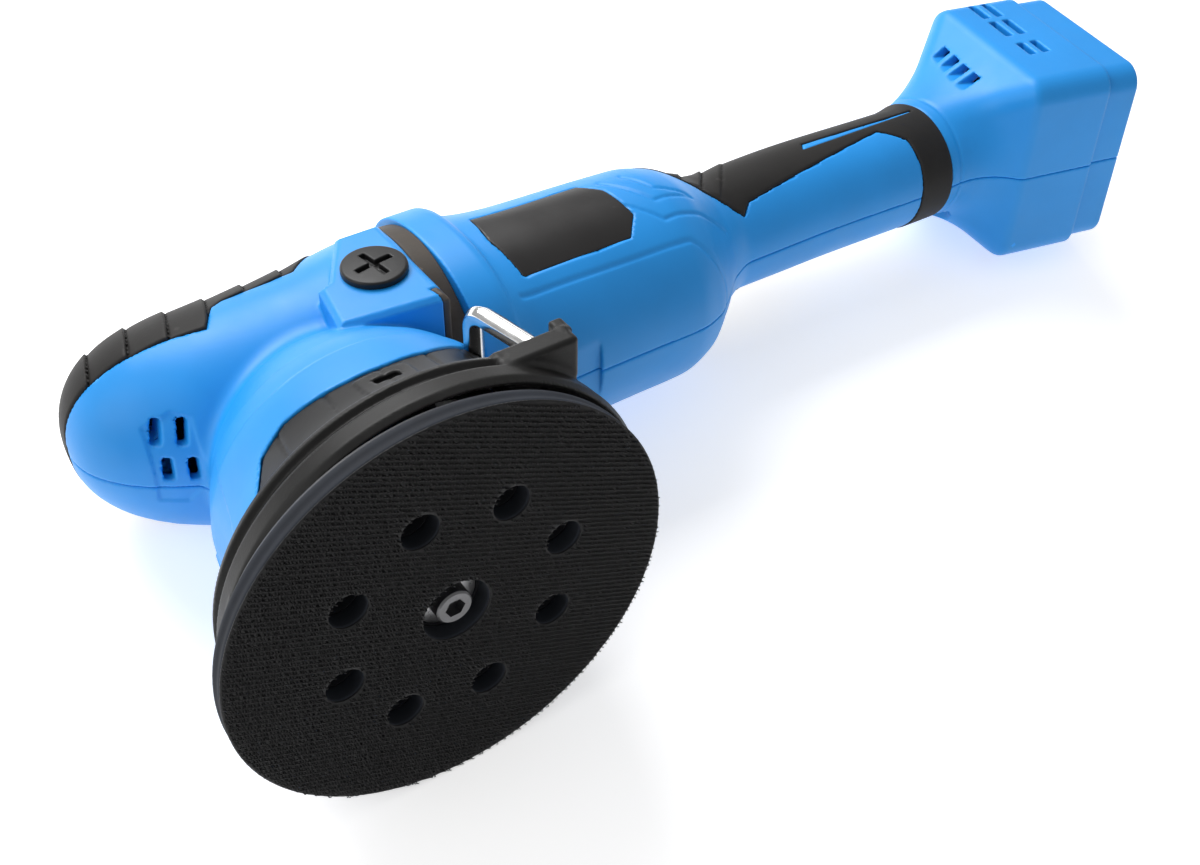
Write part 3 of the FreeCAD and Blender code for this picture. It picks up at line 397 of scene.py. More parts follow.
def nose_row(angle):
    """The nose closes as a superellipse while its centre line rises."""
    reach = math.sin(math.radians(angle))
    width = max(0.0, 1.0 - reach ** NOSE_POWER) ** (1.0 / NOSE_POWER)
    length = HEAD_ROOT[0] - NOSE_TIP - NOSE_MARGIN
    return (HEAD_ROOT[0] - length * reach, HEAD_ROOT[1] + NOSE_RISE * ease(reach),
            HEAD_ROOT[2] * width, HEAD_ROOT[3] * width)


def shoulder_row(step):
    """The barrel draws in to the handle, and its centre line rises a little later than its sides."""
    t = step / SHOULDER_STEPS
    centre, half_width, half_height = SHOULDER_FRONT
    return (SHOULDER_START + SHOULDER_LENGTH * t, centre + SHOULDER_RISE * ease(t) ** RISE_LAG,
            half_width + (HANDLE_HALF - half_width) * ease(t),
            half_height + (HANDLE_HALF - half_height) * ease(t))


NOSE = tuple(nose_row(angle) for angle in NOSE_ANGLES)
SHOULDER = tuple(shoulder_row(step) for step in range(SHOULDER_STEPS + 1))
SPINE = NOSE + HEAD_REST + SHOULDER + HANDLE
# The raised flange starts just under the edge of the strap.
RING_FACE = STRAP_HIGH[0] - 0.3
FLANGE = ((RING_FACE, 98.5, 39.0, 37.5), (RING_FACE + 10, 98.5, 39.0, 37.5),
          (RING_FACE + 12, 98.0, 38.5, 37.0), (RING_FACE + 14, 97.0, 36.5, 35.5),
          (RING_FACE + 24, 96.0, 34.0, 33.0))
# The throat: (height, radius).
DRUM = ((10.0, 58.5), (22.0, 57.5), (30.0, 51.5), (40.0, 48.5), (58.0, 45.5), (74.0, 39.0), (90.0, 27.5),
        (100.0, 18.0))
DRUM_STEP = 0.5
DRUM_TOP = 92.0
DRUM_TOP_ROUND = 7.0
# Its contour steps: (height where one starts, height where it ends, depth).
CONTOURS = ((57.0, 58.2, 0.4), (66.0, 67.4, 0.45))
# Fillets where the other forms meet the lofted body.
FLANGE_FILLET = 0.5
DRUM_FILLET = 4.5
FACET_FILLET = 0.9
SOCKET_FILLET = 13.0

spine = Tube(SPINE)
flange = Tube(FLANGE, 2.5)
drum_low, drum_table = smooth_rows(DRUM, DRUM_STEP)

FACET = around(PLUG, (-20, -18), (12, -21.5), (12, 21), (-2, 21), (-13, 2.5), (-17, 1))
FACET_FACE = 39.5
FACET_BEVEL = 1.5

TILT = math.radians(13.0)
SOCKET_HALF = (36.5, 35.0)
REAR = (SHELL_HIGH[0] - SOCKET_HALF[1] * math.sin(TILT), 91.5)
SOCKET_LENGTH = 42.0
SOCKET_ROUND = 8.0
RIM_LENGTH = 13.0
RIM_INSET = 1.5
RIM_BLEND = 0.7
# The faces that widen from the handle to the socket: (half size at the front, growth per mm).
SIDE_SLOPE = (37.0, 0.80)
TOP_SLOPE = (36.0, 1.0)
BOTTOM_SLOPE = (36.0, 1.15)


def drum_radius(z):
    s = np.clip((z - drum_low) / DRUM_STEP, 0, len(drum_table) - 1.001)
    i = s.astype(int)
    t = s - i
    return drum_table[i, 0] * (1 - t) + drum_table[i + 1, 0] * t


def drum(x, y, z):
    """The round throat that carries the pad, with two low contour steps."""
    r = np.hypot(x, y)
    radius = drum_radius(z)
    lean = (drum_radius(z + DRUM_STEP) - radius) / DRUM_STEP
    step = sum(depth * ramp(z, low, high) for low, high, depth in CONTOURS)
    d = (r - radius + step) / np.sqrt(1.0 + lean * lean)
    return smax(d, z - DRUM_TOP, DRUM_TOP_ROUND)


def socket_frame(x, z):
    """Coordinates along and across the tilted battery socket, origin at its rear face."""
    dx, dz = x - REAR[0], z - REAR[1]
    return dx * math.cos(TILT) - dz * math.sin(TILT), dx * math.sin(TILT) + dz * math.cos(TILT)


def socket_block(y, w, inset):
    """The rounded rectangular block of the socket, without ends."""
    return box2(y, w, 0.0, 0.0, SOCKET_HALF[0] - inset, SOCKET_HALF[1] - inset, SOCKET_ROUND)


def socket_slope(across, u, start, growth):
    """Distance to a plane that leans outwards along the socket."""
    return (across - start - (u + SOCKET_LENGTH) * growth) / math.hypot(1.0, growth)


def socket(x, y, z):
    """The battery socket: a block with a narrower rim, cut by the faces that widen towards it."""
    u, w = socket_frame(x, z)
    rim = ramp(u, -RIM_LENGTH - RIM_BLEND, -RIM_LENGTH + RIM_BLEND) * RIM_INSET
    block = socket_block(y, w, rim)
    side = socket_slope(np.abs(y), u, *SIDE_SLOPE)
    top = socket_slope(w, u, *TOP_SLOPE)
    bottom = socket_slope(-w, u, *BOTTOM_SLOPE)
    slopes = smax(smax(top, bottom, 6.0), side, 6.0)
    return smax(smax(block, slopes, 1.6), u, 1.2)


def facet(x, y, z):
    """The flat round each plug, with a bevelled edge."""
    outline = polygon(x, z, FACET)
    face = np.abs(y) - FACET_FACE
    bevel = (outline + face + FACET_BEVEL) / math.sqrt(2.0)
    return np.maximum(np.maximum(outline, face), bevel)


def envelope(p):
    """The plain outer form of the whole casing and neck, with no seats, seams or holes."""
    x, y, z = split(p)

    def near(form, place):
        return only(place, lambda m: form(x[m], y[m], z[m]))

    d = smin(spine(x, y, z), near(flange, (x > 40.0) & (x < 70.0)), FLANGE_FILLET)
    d = smin(d, near(drum, (x < 72.0) & (z < 96.0)), DRUM_FILLET)
    d = smin(d, near(facet, (x > -2.0) & (x < 42.0) & (z > 64.0) & (z < 118.0)), FACET_FILLET)
    return smin(d, near(socket, x > 236.0), SOCKET_FILLET)


# ---------------- casing: regions and lines

# Side-view outlines (x, z), used on both sides of the tool.
SKIRT = ((-46, 12), (-41, 29), (-33, 42), (-25, 45), (-8, 43), (3, 43), (15, 45), (46, 58), (60, 60.5),
         (80, 61), (80, 12))
NOSE_GRIP = ((NOSE_TIP - 13, 113), (NOSE_TIP + 4, 110), (-23, 101), (-18, 110), (-14, 112), (8, 112),
             (25, 132), (25, 150), (NOSE_TIP - 13, 150))
BAND_WIDTH = 14.0
BAND_START = HANDLE_END - BAND_WIDTH
REAR_GRIP = ((96, 132), (112, 126), (126, 113), (137, 97), (154, 86), (158, 89), (220, 96), (228, 89),
             (BAND_START, 82), (BAND_START, 60), (HANDLE_END, 60), (HANDLE_END, 150), (90, 150))
SLIT = ((190, 100), (192, 103), (240, 100.5), (240, 100))
LABEL = ((PLATE_LOW[0] + 1, PLATE_HIGH[2]), (PLATE_HIGH[0] - 7, PLATE_HIGH[2]),
         (PLATE_HIGH[0] - 2, PLATE_HIGH[2] - 7), (PLATE_HIGH[0], PLATE_LOW[2] + 6),
         (PLATE_HIGH[0] - 5, PLATE_LOW[2]), (PLATE_LOW[0] + 3, PLATE_LOW[2]),
         (PLATE_LOW[0], PLATE_LOW[2] + 14))
LABEL_ROUND = 0.6
# Two nested chevrons ahead of the handle, and a short one inside them.
CHEVRONS = [((106, 101 - 14 * i), (116 - i, 85 - 7 * i), (131 + 10 * i, 86 - 6 * i)) for i in range(2)]
CHEVRONS.append(((114, 101), (119, 90), (130, 87)))
BARREL_LINE = ((60, 72), (120, 71), (133, 65))
GROOVE_WIDTH = 0.9
CHEVRON_DEPTH = 0.5
BARREL_LINE_DEPTH = 0.45
PANEL_DEPTH = 0.5
# A groove round the casing where the handle ends.
END_LINE = 247.6
END_LINE_DEPTH = 0.35
NOSE_PANEL = ((-50, 5), (-49, -17), (-41, -21), (-37, -20), (-38, -3), (-43, 5))
VENT_COLUMNS = (-46, -40)
# Where each row of slots under the nose lies along Y, and how far it leans.
VENT_ROWS = ((-16, 0.3), (-6, 0.1))
VENT_HALF = (1.3, 3.5)
# They cut only above a floor that rises towards the nose: (x, height there, slope).
VENT_FLOOR = (-41.0, 74.0, 0.55)
# Slots in the socket's sides, in two columns: (start, length) of each, across the socket.
SIDE_VENTS = ((18.0, 12.0), (3.0, 12.0), (-12.0, 9.0))
SIDE_VENT_START = -31.5
SIDE_VENT_PITCH = 5.6
SIDE_VENT_HALF = 1.5
SIDE_VENT_INNER = 26.0
# Square holes in the faces that widen towards the socket.
SLOPE_VENTS = (12.5, 5.5, -1.5, -8.5)
SLOPE_VENT_Y = 28.0
SLOPE_VENT_HALF = (1.7, 2.2)
BUTTON_TRAVEL = 5.0
BUTTON_PLAY = 0.4
DIAL_SLOT = (8.8, 2.9)
KEY_HOLE = 3.4
PLUG_HOLE = 6.3
# How deep each rubber or film piece sits in the casing.
GRIP_DEPTH = 1.7
STRAP_DEPTH = 1.4
NOTCH_DEPTH = 2.4
FILM_DEPTH = 0.9
STRAP_FOOT = 61.0
# The inside of the shells, and the posts and bores for the housing screws.
WALL = 3.0
HOLLOW_CLEAR = 0.6
SOCKET_WALL = WALL + 1.2
SOCKET_DEPTH = 38.0
POST_RADIUS = 5.2
HEAD_BORE = 3.6
SCREW_BORE = 1.9
BORE_END = -16.0
CASING_FOOT = 22.4
# Half the gap between the two shells.
SEAM_GAP = 0.11
EDGE_ROUND = 0.35


def outline_field(x, z, outline, place):
    """Signed distance to a side-view outline, worked out only where place holds."""
    return only(place, lambda m: polygon(x[m], z[m], outline))


def nose_region(x, z):
    return outline_field(x, z, NOSE_GRIP, x < 34.0)


def rear_region(x, z):
    slit = outline_field(x, z, SLIT, (x > 186.0) & (x < 246.0) & (z > 94.0) & (z < 108.0))
    return np.maximum(outline_field(x, z, REAR_GRIP, (x > 84.0) & (x < 256.0)), -slit)


def strap_region(x, z):
    band = np.abs(x - (STRAP_LOW[0] + STRAP_HIGH[0]) / 2) - (STRAP_HIGH[0] - STRAP_LOW[0]) / 2
    return np.maximum(band, STRAP_FOOT - z)


NOTCH = around((STRAP_LOW[0], 66), (-3.5, 9.5), (1.5, 9.5), (2.5, 0), (-1, 0))


def notch_region(x, z):
    return outline_field(x, z, NOTCH, (x > 24.0) & (x < 50.0))


def label_region(x, y, z):
    return only((x > 50.0) & (x < 112.0) & (y < 0.0), lambda m: polygon(x[m], z[m], LABEL) - LABEL_ROUND)


def skirt_region(x, z):
    return outline_field(x, z, SKIRT, (x < 84.0) & (z < 70.0))


def lines(x, y, z):
    """Moulded grooves of the casing, as a depth to take off."""
    depth = np.zeros(x.shape)
    mask = (x > 102.0) & (x < 150.0) & (z < 106.0)
    for chain in CHEVRONS:
        depth[mask] += CHEVRON_DEPTH * ridge(polyline(x[mask], z[mask], chain), GROOVE_WIDTH)
    mask = (x > 54.0) & (x < 138.0) & (z < 84.0)
    depth[mask] += BARREL_LINE_DEPTH * ridge(polyline(x[mask], z[mask], BARREL_LINE), GROOVE_WIDTH)
    mask = (x > -54.0) & (x < -32.0) & (z < 92.0)
    panel = polygon(x[mask], y[mask], NOSE_PANEL)
    depth[mask] += PANEL_DEPTH * ramp(-panel, -0.5, 0.5)
    mask = (x > 246.0) & (x < 252.0)
    depth[mask] += END_LINE_DEPTH * ridge(x[mask] - END_LINE, GROOVE_WIDTH)
    return depth


def openings(x, y, z):
    """Vents, control slots and holes that go right through the casing, negative inside."""
    d = np.full(x.shape, FAR)
    m = (x < -30.0) & (x > -56.0) & (z < 98.0)
    for vx in VENT_COLUMNS:
        for vy, lean in VENT_ROWS:
            slot = box2(x[m] + lean * (y[m] - vy), y[m], vx, vy, *VENT_HALF, 0.9)
            floor_z = VENT_FLOOR[1] - VENT_FLOOR[2] * (x[m] - VENT_FLOOR[0])
            d[m] = np.minimum(d[m], np.maximum(slot, floor_z - z[m]))
    m = x > 240.0
    u, w = socket_frame(x[m], z[m])
    side = np.abs(y[m])
    hole = np.full(u.shape, FAR)
    for start, length in SIDE_VENTS:
        for column in range(2):
            middle = SIDE_VENT_START + column * SIDE_VENT_PITCH
            slot = box2(u, w, middle, start + length / 2, SIDE_VENT_HALF, length / 2, 0.5)
            hole = np.minimum(hole, np.maximum(slot, SIDE_VENT_INNER - side))
    for wz in SLOPE_VENTS:
        square = box2(side, w, SLOPE_VENT_Y, wz, *SLOPE_VENT_HALF, 0.4)
        hole = np.minimum(hole, np.maximum(square, np.abs(u + 50.0) - 12.0))
    d[m] = np.minimum(d[m], hole)
    m = (x > 150.0) & (x < 240.0) & (z > 106.0)
    middle = (BUTTON_LOW[0] + BUTTON_HIGH[0] + BUTTON_TRAVEL) / 2
    reach = (BUTTON_HIGH[0] - BUTTON_LOW[0] + BUTTON_TRAVEL) / 2 + BUTTON_PLAY
    button = box2(x[m], y[m], middle, 0.0, reach, BUTTON_HIGH[1] + BUTTON_PLAY, 1.6)
    wheel = box2(x[m], y[m], DIAL_AT, 0.0, *DIAL_SLOT, 0.8)
    d[m] = np.minimum(d[m], np.minimum(button, wheel))
    m = (np.abs(x - KEY_AT[0]) < 8.0) & (np.abs(z - KEY_AT[1]) < 8.0) & (y < -20.0)
    d[m] = np.minimum(d[m], np.hypot(x[m] - KEY_AT[0], z[m] - KEY_AT[1]) - KEY_HOLE)
    m = (np.abs(x - PLUG[0]) < 12.0) & (np.abs(z - PLUG[1]) < 12.0) & (np.abs(y) > 28.0)
    d[m] = np.minimum(d[m], np.hypot(x[m] - PLUG[0], z[m] - PLUG[1]) - PLUG_HOLE)
    return d


def seats(x, y, z):
    """Depth of the recess under each rubber or film piece, as (region, depth) pairs."""
    return ((nose_region(x, z), GRIP_DEPTH), (rear_region(x, z), GRIP_DEPTH),
            (strap_region(x, z), STRAP_DEPTH), (notch_region(x, z), NOTCH_DEPTH),
            (label_region(x, y, z), FILM_DEPTH))


def casing(p, side):
    """One half shell: side is -1 for the data-plate half and 1 for the screw half."""
    x, y, z = split(p)
    outer = envelope(p)
    d = outer + lines(x, y, z)
    for region, depth in seats(x, y, z):
        rounded_edge = smin(-region, outer + depth, EDGE_ROUND)
        d = smax(d, rounded_edge, EDGE_ROUND)
    hollow = -(outer + WALL + HOLLOW_CLEAR)
    post = np.full(x.shape, FAR)
    bore = np.full(x.shape, FAR)
    for sx, sz in SCREWS:
        r = np.hypot(x - sx, z - sz)
        post = np.minimum(post, r - POST_RADIUS)
        if side > 0:
            bore = np.minimum(bore, np.maximum(r - HEAD_BORE, SCREW_SEAT - y))
        bore = np.minimum(bore, np.maximum(r - SCREW_BORE, BORE_END - y))
    u, w = socket_frame(x, z)
    back = only(x > 250.0,
                lambda m: np.maximum(socket_block(y[m], w[m], SOCKET_WALL), -SOCKET_DEPTH - u[m]))
    d = np.where(post < 0, d, np.maximum(d, np.maximum(hollow, -back)))
    d = np.maximum(d, -bore)
    d = smax(d, -openings(x, y, z), 0.3)
    d = smax(d, -(skirt_region(x, z) - 0.12), 0.4)
    d = smax(d, CASING_FOOT - z, 0.3)
    return smax(d, SEAM_GAP - side * y, EDGE_ROUND)


SHELL_CELL = 0.68
solid_piece("left_half_shell", lambda p: casing(p, -1), (-69, -60, 20), (321, 1, 140), SHELL_CELL,
            "blue_shell", "left_shell")
solid_piece("right_half_shell", lambda p: casing(p, 1), (-69, -1, 20), (321, 60, 140), SHELL_CELL,
            "blue_shell", "right_shell")


# ---------------- rubber grips, strap, film, neck

# A piece stops short of the edges of its recess and of the recess's floor.
SIDE_GAP = 0.15
FLOOR_GAP = 0.05
GRIP_PROUD = 0.35
GRIP_ROUND = 0.6
RIB_RISE = 0.9


def ribs(along, start, pitch, sink, groove):
    """Overlapping ribs: each rises along its length and ends in a groove."""
    phase = np.mod(along - start, pitch) / pitch
    return RIB_RISE * phase - sink - RIB_RISE * ridge(np.minimum(phase, 1 - phase) * pitch, groove)


def nose_grip(p):
    """Moulded rubber over the nose, in overlapping ribs."""
    x, y, z = split(p)
    outer = envelope(p)
    along = x - 0.30 * (z - 120.0) - 0.10 * np.abs(y)
    swell = ribs(along, -66.0, 11.6, 0.45, 0.55) * (1 - ramp(x, 12.0, 20.0))
    d = smax(outer - GRIP_PROUD - swell, nose_region(x, z) + SIDE_GAP, GRIP_ROUND)
    return np.maximum(d, -(outer + GRIP_DEPTH - FLOOR_GAP))


def rear_grip(p):
    """Moulded rubber over the handle, with slanted ribs at its front end."""
    x, y, z = split(p)
    outer = envelope(p)
    along = x - 0.80 * (z - 100.0)
    zone = ramp(along, 128.0, 131.0) * (1 - ramp(along, 153.0, 156.0)) * ramp(x, 118.0, 124.0)
    region = rear_region(x, z)
    swell = ribs(along, 128.5, 8.8, 0.35, 0.8) * zone * ramp(-region, 0.5, 2.5)
    d = smax(outer - GRIP_PROUD - swell, region + SIDE_GAP, GRIP_ROUND)
    d = np.maximum(d, -(outer + GRIP_DEPTH - FLOOR_GAP))
    return smax(d, -(openings(x, y, z) - 0.1), 0.4)


def strap(p):
    """The rubber strap in the groove between head and barrel, with its notch at the foot."""
    x, y, z = split(p)
    outer = envelope(p)
    region = smin(strap_region(x, z), notch_region(x, z), 0.3)
    d = smax(outer + 0.05, region + SIDE_GAP, GRIP_ROUND)
    return np.maximum(d, -(outer + STRAP_DEPTH - FLOOR_GAP))


def film(p):
    """The plain black data plate, a film in a shallow recess."""
    x, y, z = split(p)
    outer = envelope(p)
    d = smax(outer + 0.05, label_region(x, y, z) + 0.12, 0.15)
    return np.maximum(d, -(outer + FILM_DEPTH - FLOOR_GAP))


NECK_INSET = 0.45
NECK_WALL = 2.9
NECK_FOOT = 22.2
# Upright folds round the neck, in degrees and mm.
FOLD_PITCH = 18.0
FOLD_DEPTH = 0.35
FOLD_WIDTH = 0.9
# A panel with a slot on each side: (height, half length, half height).
NECK_PANEL = (36.5, 7.5, 5.0)
NECK_SLOT = (36.8, 3.6, 1.3)
NECK_SIDE = 30.0


def neck(p):
    """The black neck below the blue casing, with shallow upright folds and a slotted panel."""
    x, y, z = split(p)
    outer = envelope(p)
    angle = np.degrees(np.arctan2(y, x))
    fold = np.mod(angle + FOLD_PITCH / 2, FOLD_PITCH) - FOLD_PITCH / 2
    radius = np.hypot(x, y)
    crease = ridge(fold / 180.0 * math.pi * radius, FOLD_WIDTH)
    d = outer + NECK_INSET + FOLD_DEPTH * crease * ramp(z, 26.0, 30.0)
    panel = np.where(np.abs(y) > NECK_SIDE, box2(x, z, 0.0, *NECK_PANEL, 1.0), FAR)
    d = d - PANEL_DEPTH * ramp(-panel, -0.4, 0.4)
    slot = np.where(np.abs(y) > NECK_SIDE, box2(x, z, 0.0, *NECK_SLOT, 0.4), FAR)
    d = smax(d, np.minimum(-slot, outer + 1.9), 0.3)
    d = smax(d, skirt_region(x, z) + SIDE_GAP, 0.4)
    d = np.maximum(d, -(outer + NECK_WALL))
    d = np.maximum(d, -(np.hypot(x - KEY_AT[0], z - KEY_AT[1]) - KEY_HOLE))
    return np.maximum(d, NECK_FOOT - z)


SHROUD = around((SHROUD_RADIUS, 0), (-9.5, 25), (-3.5, 25), (-2, 24), (-1.5, 22.5), (-3, 21), (-2.5, 20),
                (-0.5, 18), (0, 13), (-1, 11), (-2.5, 12.5), (-5.5, 17), (-5.5, 21.5), (-9.5, 21.5))
DIMPLE_COUNT = 42
DIMPLE_AT = (55.6, 15.2)
DIMPLE_RADIUS = 1.2
TAB_TURN = math.radians(22.0)
TAB_HALF = (1.3, 2.5, 1.5)
# The ear that holds the key: (centre, half size, rounding) of its base and two posts.
EAR_BASE = ((33.0, -48.5, 21.5), (11.0, 6.5, 3.5), 1.4)
EAR_FAR_POST = ((43.0, -48.5, 25.5), (2.0, 6.0, 3.0), 0.9)
EAR_NEAR_POST = ((32.0, -47.5, 25.0), (1.5, 5.0, 2.0), 0.9)


def shroud(p):
    """The rubber ring round the pad, with a stepped outside, lip dimples, a tab and the key's ear."""
    x, y, z = split(p)
    r = np.hypot(x, y)
    d = polygon(r, z, SHROUD) - SHROUD_ROUND
    angle = np.arctan2(y, x)
    pitch = 2 * math.pi / DIMPLE_COUNT
    offset = (np.mod(angle, pitch) - pitch / 2) * r
    dimple = np.sqrt(offset ** 2 + ((z - DIMPLE_AT[1]) / 0.8) ** 2 + (r - DIMPLE_AT[0]) ** 2)
    dimple = dimple - DIMPLE_RADIUS
    d = smax(d, -dimple, 0.3)
    tab_x = x * math.cos(TAB_TURN) + y * math.sin(TAB_TURN)
    tab_y = y * math.cos(TAB_TURN) - x * math.sin(TAB_TURN)
    tab = box3(tab_x, tab_y, z, (TAB_HALF[0] - SHROUD_RADIUS, 0.0, 12.5), TAB_HALF, 0.5)
    d = smin(d, tab, 0.6)
    m = (x > 6.0) & (x < 56.0) & (y < -30.0)

    def ear(m):
        xs, ys, zs = x[m], y[m], z[m]
        posts = np.minimum(box3(xs, ys, zs, *EAR_FAR_POST), box3(xs, ys, zs, *EAR_NEAR_POST))
        return smin(box3(xs, ys, zs, *EAR_BASE), posts, 1.2)

    return smin(d, only(m, ear), 1.6)


solid_piece("nose_grip", nose_grip, (-69, -36, 99), (27, 36, 140), 0.55, "grip_rubber", "front_grip")
solid_piece("handle_grip", rear_grip, (88, -38, 60), (248, 38, 134), 0.6, "grip_rubber", "rear_grip")
solid_piece("head_strap", strap, (30, -42, 58), (46, 42, 139), 0.5, "strap_rubber", "strap_band")
solid_piece("data_plate", film, (54, -40, 72), (108, -24, 105), 0.4, "label_film", "label_plate")
solid_piece("throat_neck", neck, (-60, -60, 20), (60, 60, 63), 0.65, "black_plastic", "neck_skirt")
solid_piece("pad_shroud", shroud, (-62, -62, 9.6), (62, 62, 30), 0.5, "shroud_rubber", "shroud_ring")


# ---------------- plugs and key

PLUG_RADIUS = 9.55
PLUG_STEM = 6.1
# Along Y, from the middle of the casing: the top of the dome, the disc's back and the stem's ends.
PLUG_TOP = 42.0
PLUG_BACK = 39.55
STEM_TOP = 40.0
STEM_END = 33.0
CROSS_FLOOR = 40.2
CROSS_HALF = (5.9, 0.95)
# The cross is turned by about ten degrees.
CROSS_TURN = (0.98, 0.17)


def plug(p, side):
    """A domed disc with a cross slot, on a stem."""
    x, y, z = split(p)
    r = np.hypot(x - PLUG[0], z - PLUG[1])
    h = side * y
    dome = h - PLUG_TOP + 0.0045 * r * r
    d = smax(smax(r - PLUG_RADIUS, dome, 0.9), PLUG_BACK - h, 0.2)
    stem = np.maximum(np.maximum(r - PLUG_STEM, h - STEM_TOP), STEM_END - h)
    d = np.minimum(d, stem)
    c, s = CROSS_TURN
    a, b = (x - PLUG[0]) * c + (z - PLUG[1]) * s, (z - PLUG[1]) * c - (x - PLUG[0]) * s
    slot = np.minimum(box2(a, b, 0, 0, *CROSS_HALF, 0.2), box2(b, a, 0, 0, *CROSS_HALF, 0.2))
    return smax(d, -np.maximum(slot, CROSS_FLOOR - h), 0.25)


for side, name, node in ((-1, "left_handle_plug", "left_plug"), (1, "right_handle_plug", "right_plug")):
    y_low, y_high = sorted((side * 32.4, side * 42.6))
    solid_piece(name, lambda p: plug(p, side), (PLUG[0] - 10.4, y_low, PLUG[1] - 10.4),
                (PLUG[0] + 10.4, y_high, PLUG[1] + 10.4), 0.32, "black_plastic", node)

KEY_CORNER_Y = -47.0
KEY_STEM = 61.0
KEY_ARM = 26.1
KEY_CHAMFER = 0.5
KEY_BEND = 5.0
BEND_STEPS = 9
ARM_LEAN = math.radians(12.0)
END_SCALE = 0.88
# Three points round each corner of the hexagon: (turn in degrees, radius).
KEY_CORNER = ((-7.0, 2.84), (0.0, 2.87), (7.0, 2.84))


def key_path():
    """Points and headings down the key's stem, round the bend and along the arm."""
    arm = np.array([math.sin(ARM_LEAN), 0.0, -math.cos(ARM_LEAN)])
    into = np.array([0.0, 1.0, 0.0])
    corner = np.array([KEY_AT[0], KEY_CORNER_Y, KEY_AT[1]])
    path = [(corner + into * KEY_STEM, into * -1.0), (corner + into * KEY_BEND, into * -1.0)]
    centre = corner + into * KEY_BEND + arm * KEY_BEND
    for i in range(1, BEND_STEPS):
        a = math.pi / 2 * i / BEND_STEPS
        path.append((centre - arm * KEY_BEND * math.cos(a) - into * KEY_BEND * math.sin(a),
                     arm * math.sin(a) - into * math.cos(a)))
    path += [(corner + arm * along, arm) for along in (KEY_BEND, KEY_ARM - KEY_CHAMFER, KEY_ARM)]
    return path, np.cross(arm, into)


def hex_key():
    """The L-shaped key: a rounded hexagon swept along its path."""
    path, across = key_path()
    points, faces = [], []
    profile = []
    for k in range(6):
        for turn, r in KEY_CORNER:
            a = math.radians(60 * k + turn + 30.0)
            profile.append((r * math.cos(a), r * math.sin(a)))
    count = len(profile)
    for step, (spot, heading) in enumerate(path):
        other = np.cross(heading, across)
        scale = END_SCALE if step in (0, len(path) - 1) else 1.0
        for cu, cv in profile:
            points.append(spot + across * cu * scale + other * cv * scale)
    for s in range(len(path) - 1):
        for k in range(count):
            n = (k + 1) % count
            faces.append((s * count + k, s * count + n, (s + 1) * count + n, (s + 1) * count + k))
    mesh = bpy.data.meshes.new("hex_wrench")
    caps = [tuple(range(count))[::-1], tuple(range((len(path) - 1) * count, len(path) * count))]
    mesh.from_pydata([tuple((q + SPINDLE) * MM) for q in points], [], faces + caps)
    obj = bpy.data.objects.new("hex_wrench", mesh)
    bpy.context.scene.collection.objects.link(obj)
    mesh.polygons.foreach_set("use_smooth", np.ones(len(mesh.polygons), bool))
    mesh.set_sharp_from_angle(angle=math.radians(28.0))
    place(obj, "chrome_key", "hex_key", "key")


hex_key()

# ---------------- pad

PAD_X = node_middle("hook_face")[0]
PAD_RADIUS = 62.5
HOLE_RING = 32.9
HOLE_RADIUS = 5.2
HOLE_TURN = math.radians(31.1)
HOLE_COUNT = 8
RECESS = 9.6
HOOK_ROW_TURN = math.radians(26.0)
# Between rows, and along a row.
HOOK_PITCH = ((1.45, 0.82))
HOOK_HALF_WIDTH = 0.15
HOOK_HALF_THICK = 0.085
# Side view of one hook, (reach along the row, height above the pad's face), and the way out at each point.
HOOK_CURVE = ((-0.05, 1.0), (-0.18, 0.62), (-0.12, 0.28), (0.14, 0.10), (0.42, 0.26))
HOOK_NORMALS = ((-1.0, 0.0), (-0.95, -0.3), (-0.7, -0.7), (0.1, -1.0), (0.7, -0.6))
FOAM_MIDDLE = 4.1
FOAM_HALF = 2.68
FOAM_WAIST = 3.6


def pad_holes(x, y):
    """Distance to the pad's holes, negative inside one of them."""
    d = np.hypot(x - PAD_X, y) - RECESS
    for k in range(HOLE_COUNT):
        a = HOLE_TURN + k * 2 * math.pi / HOLE_COUNT
        spot = (PAD_X + HOLE_RING * math.cos(a), HOLE_RING * math.sin(a))
        d = np.minimum(d, np.hypot(x - spot[0], y - spot[1]) - HOLE_RADIUS)
    return d


def hook_base(p):
    """The thin backing that the hooks stand on."""
    x, y, z = split(p)
    r = np.hypot(x - PAD_X, y)
    return smax(smax(r - PAD_RADIUS + 0.1, np.abs(z - 1.15) - 0.25, 0.2), -pad_holes(x, y), 0.2)


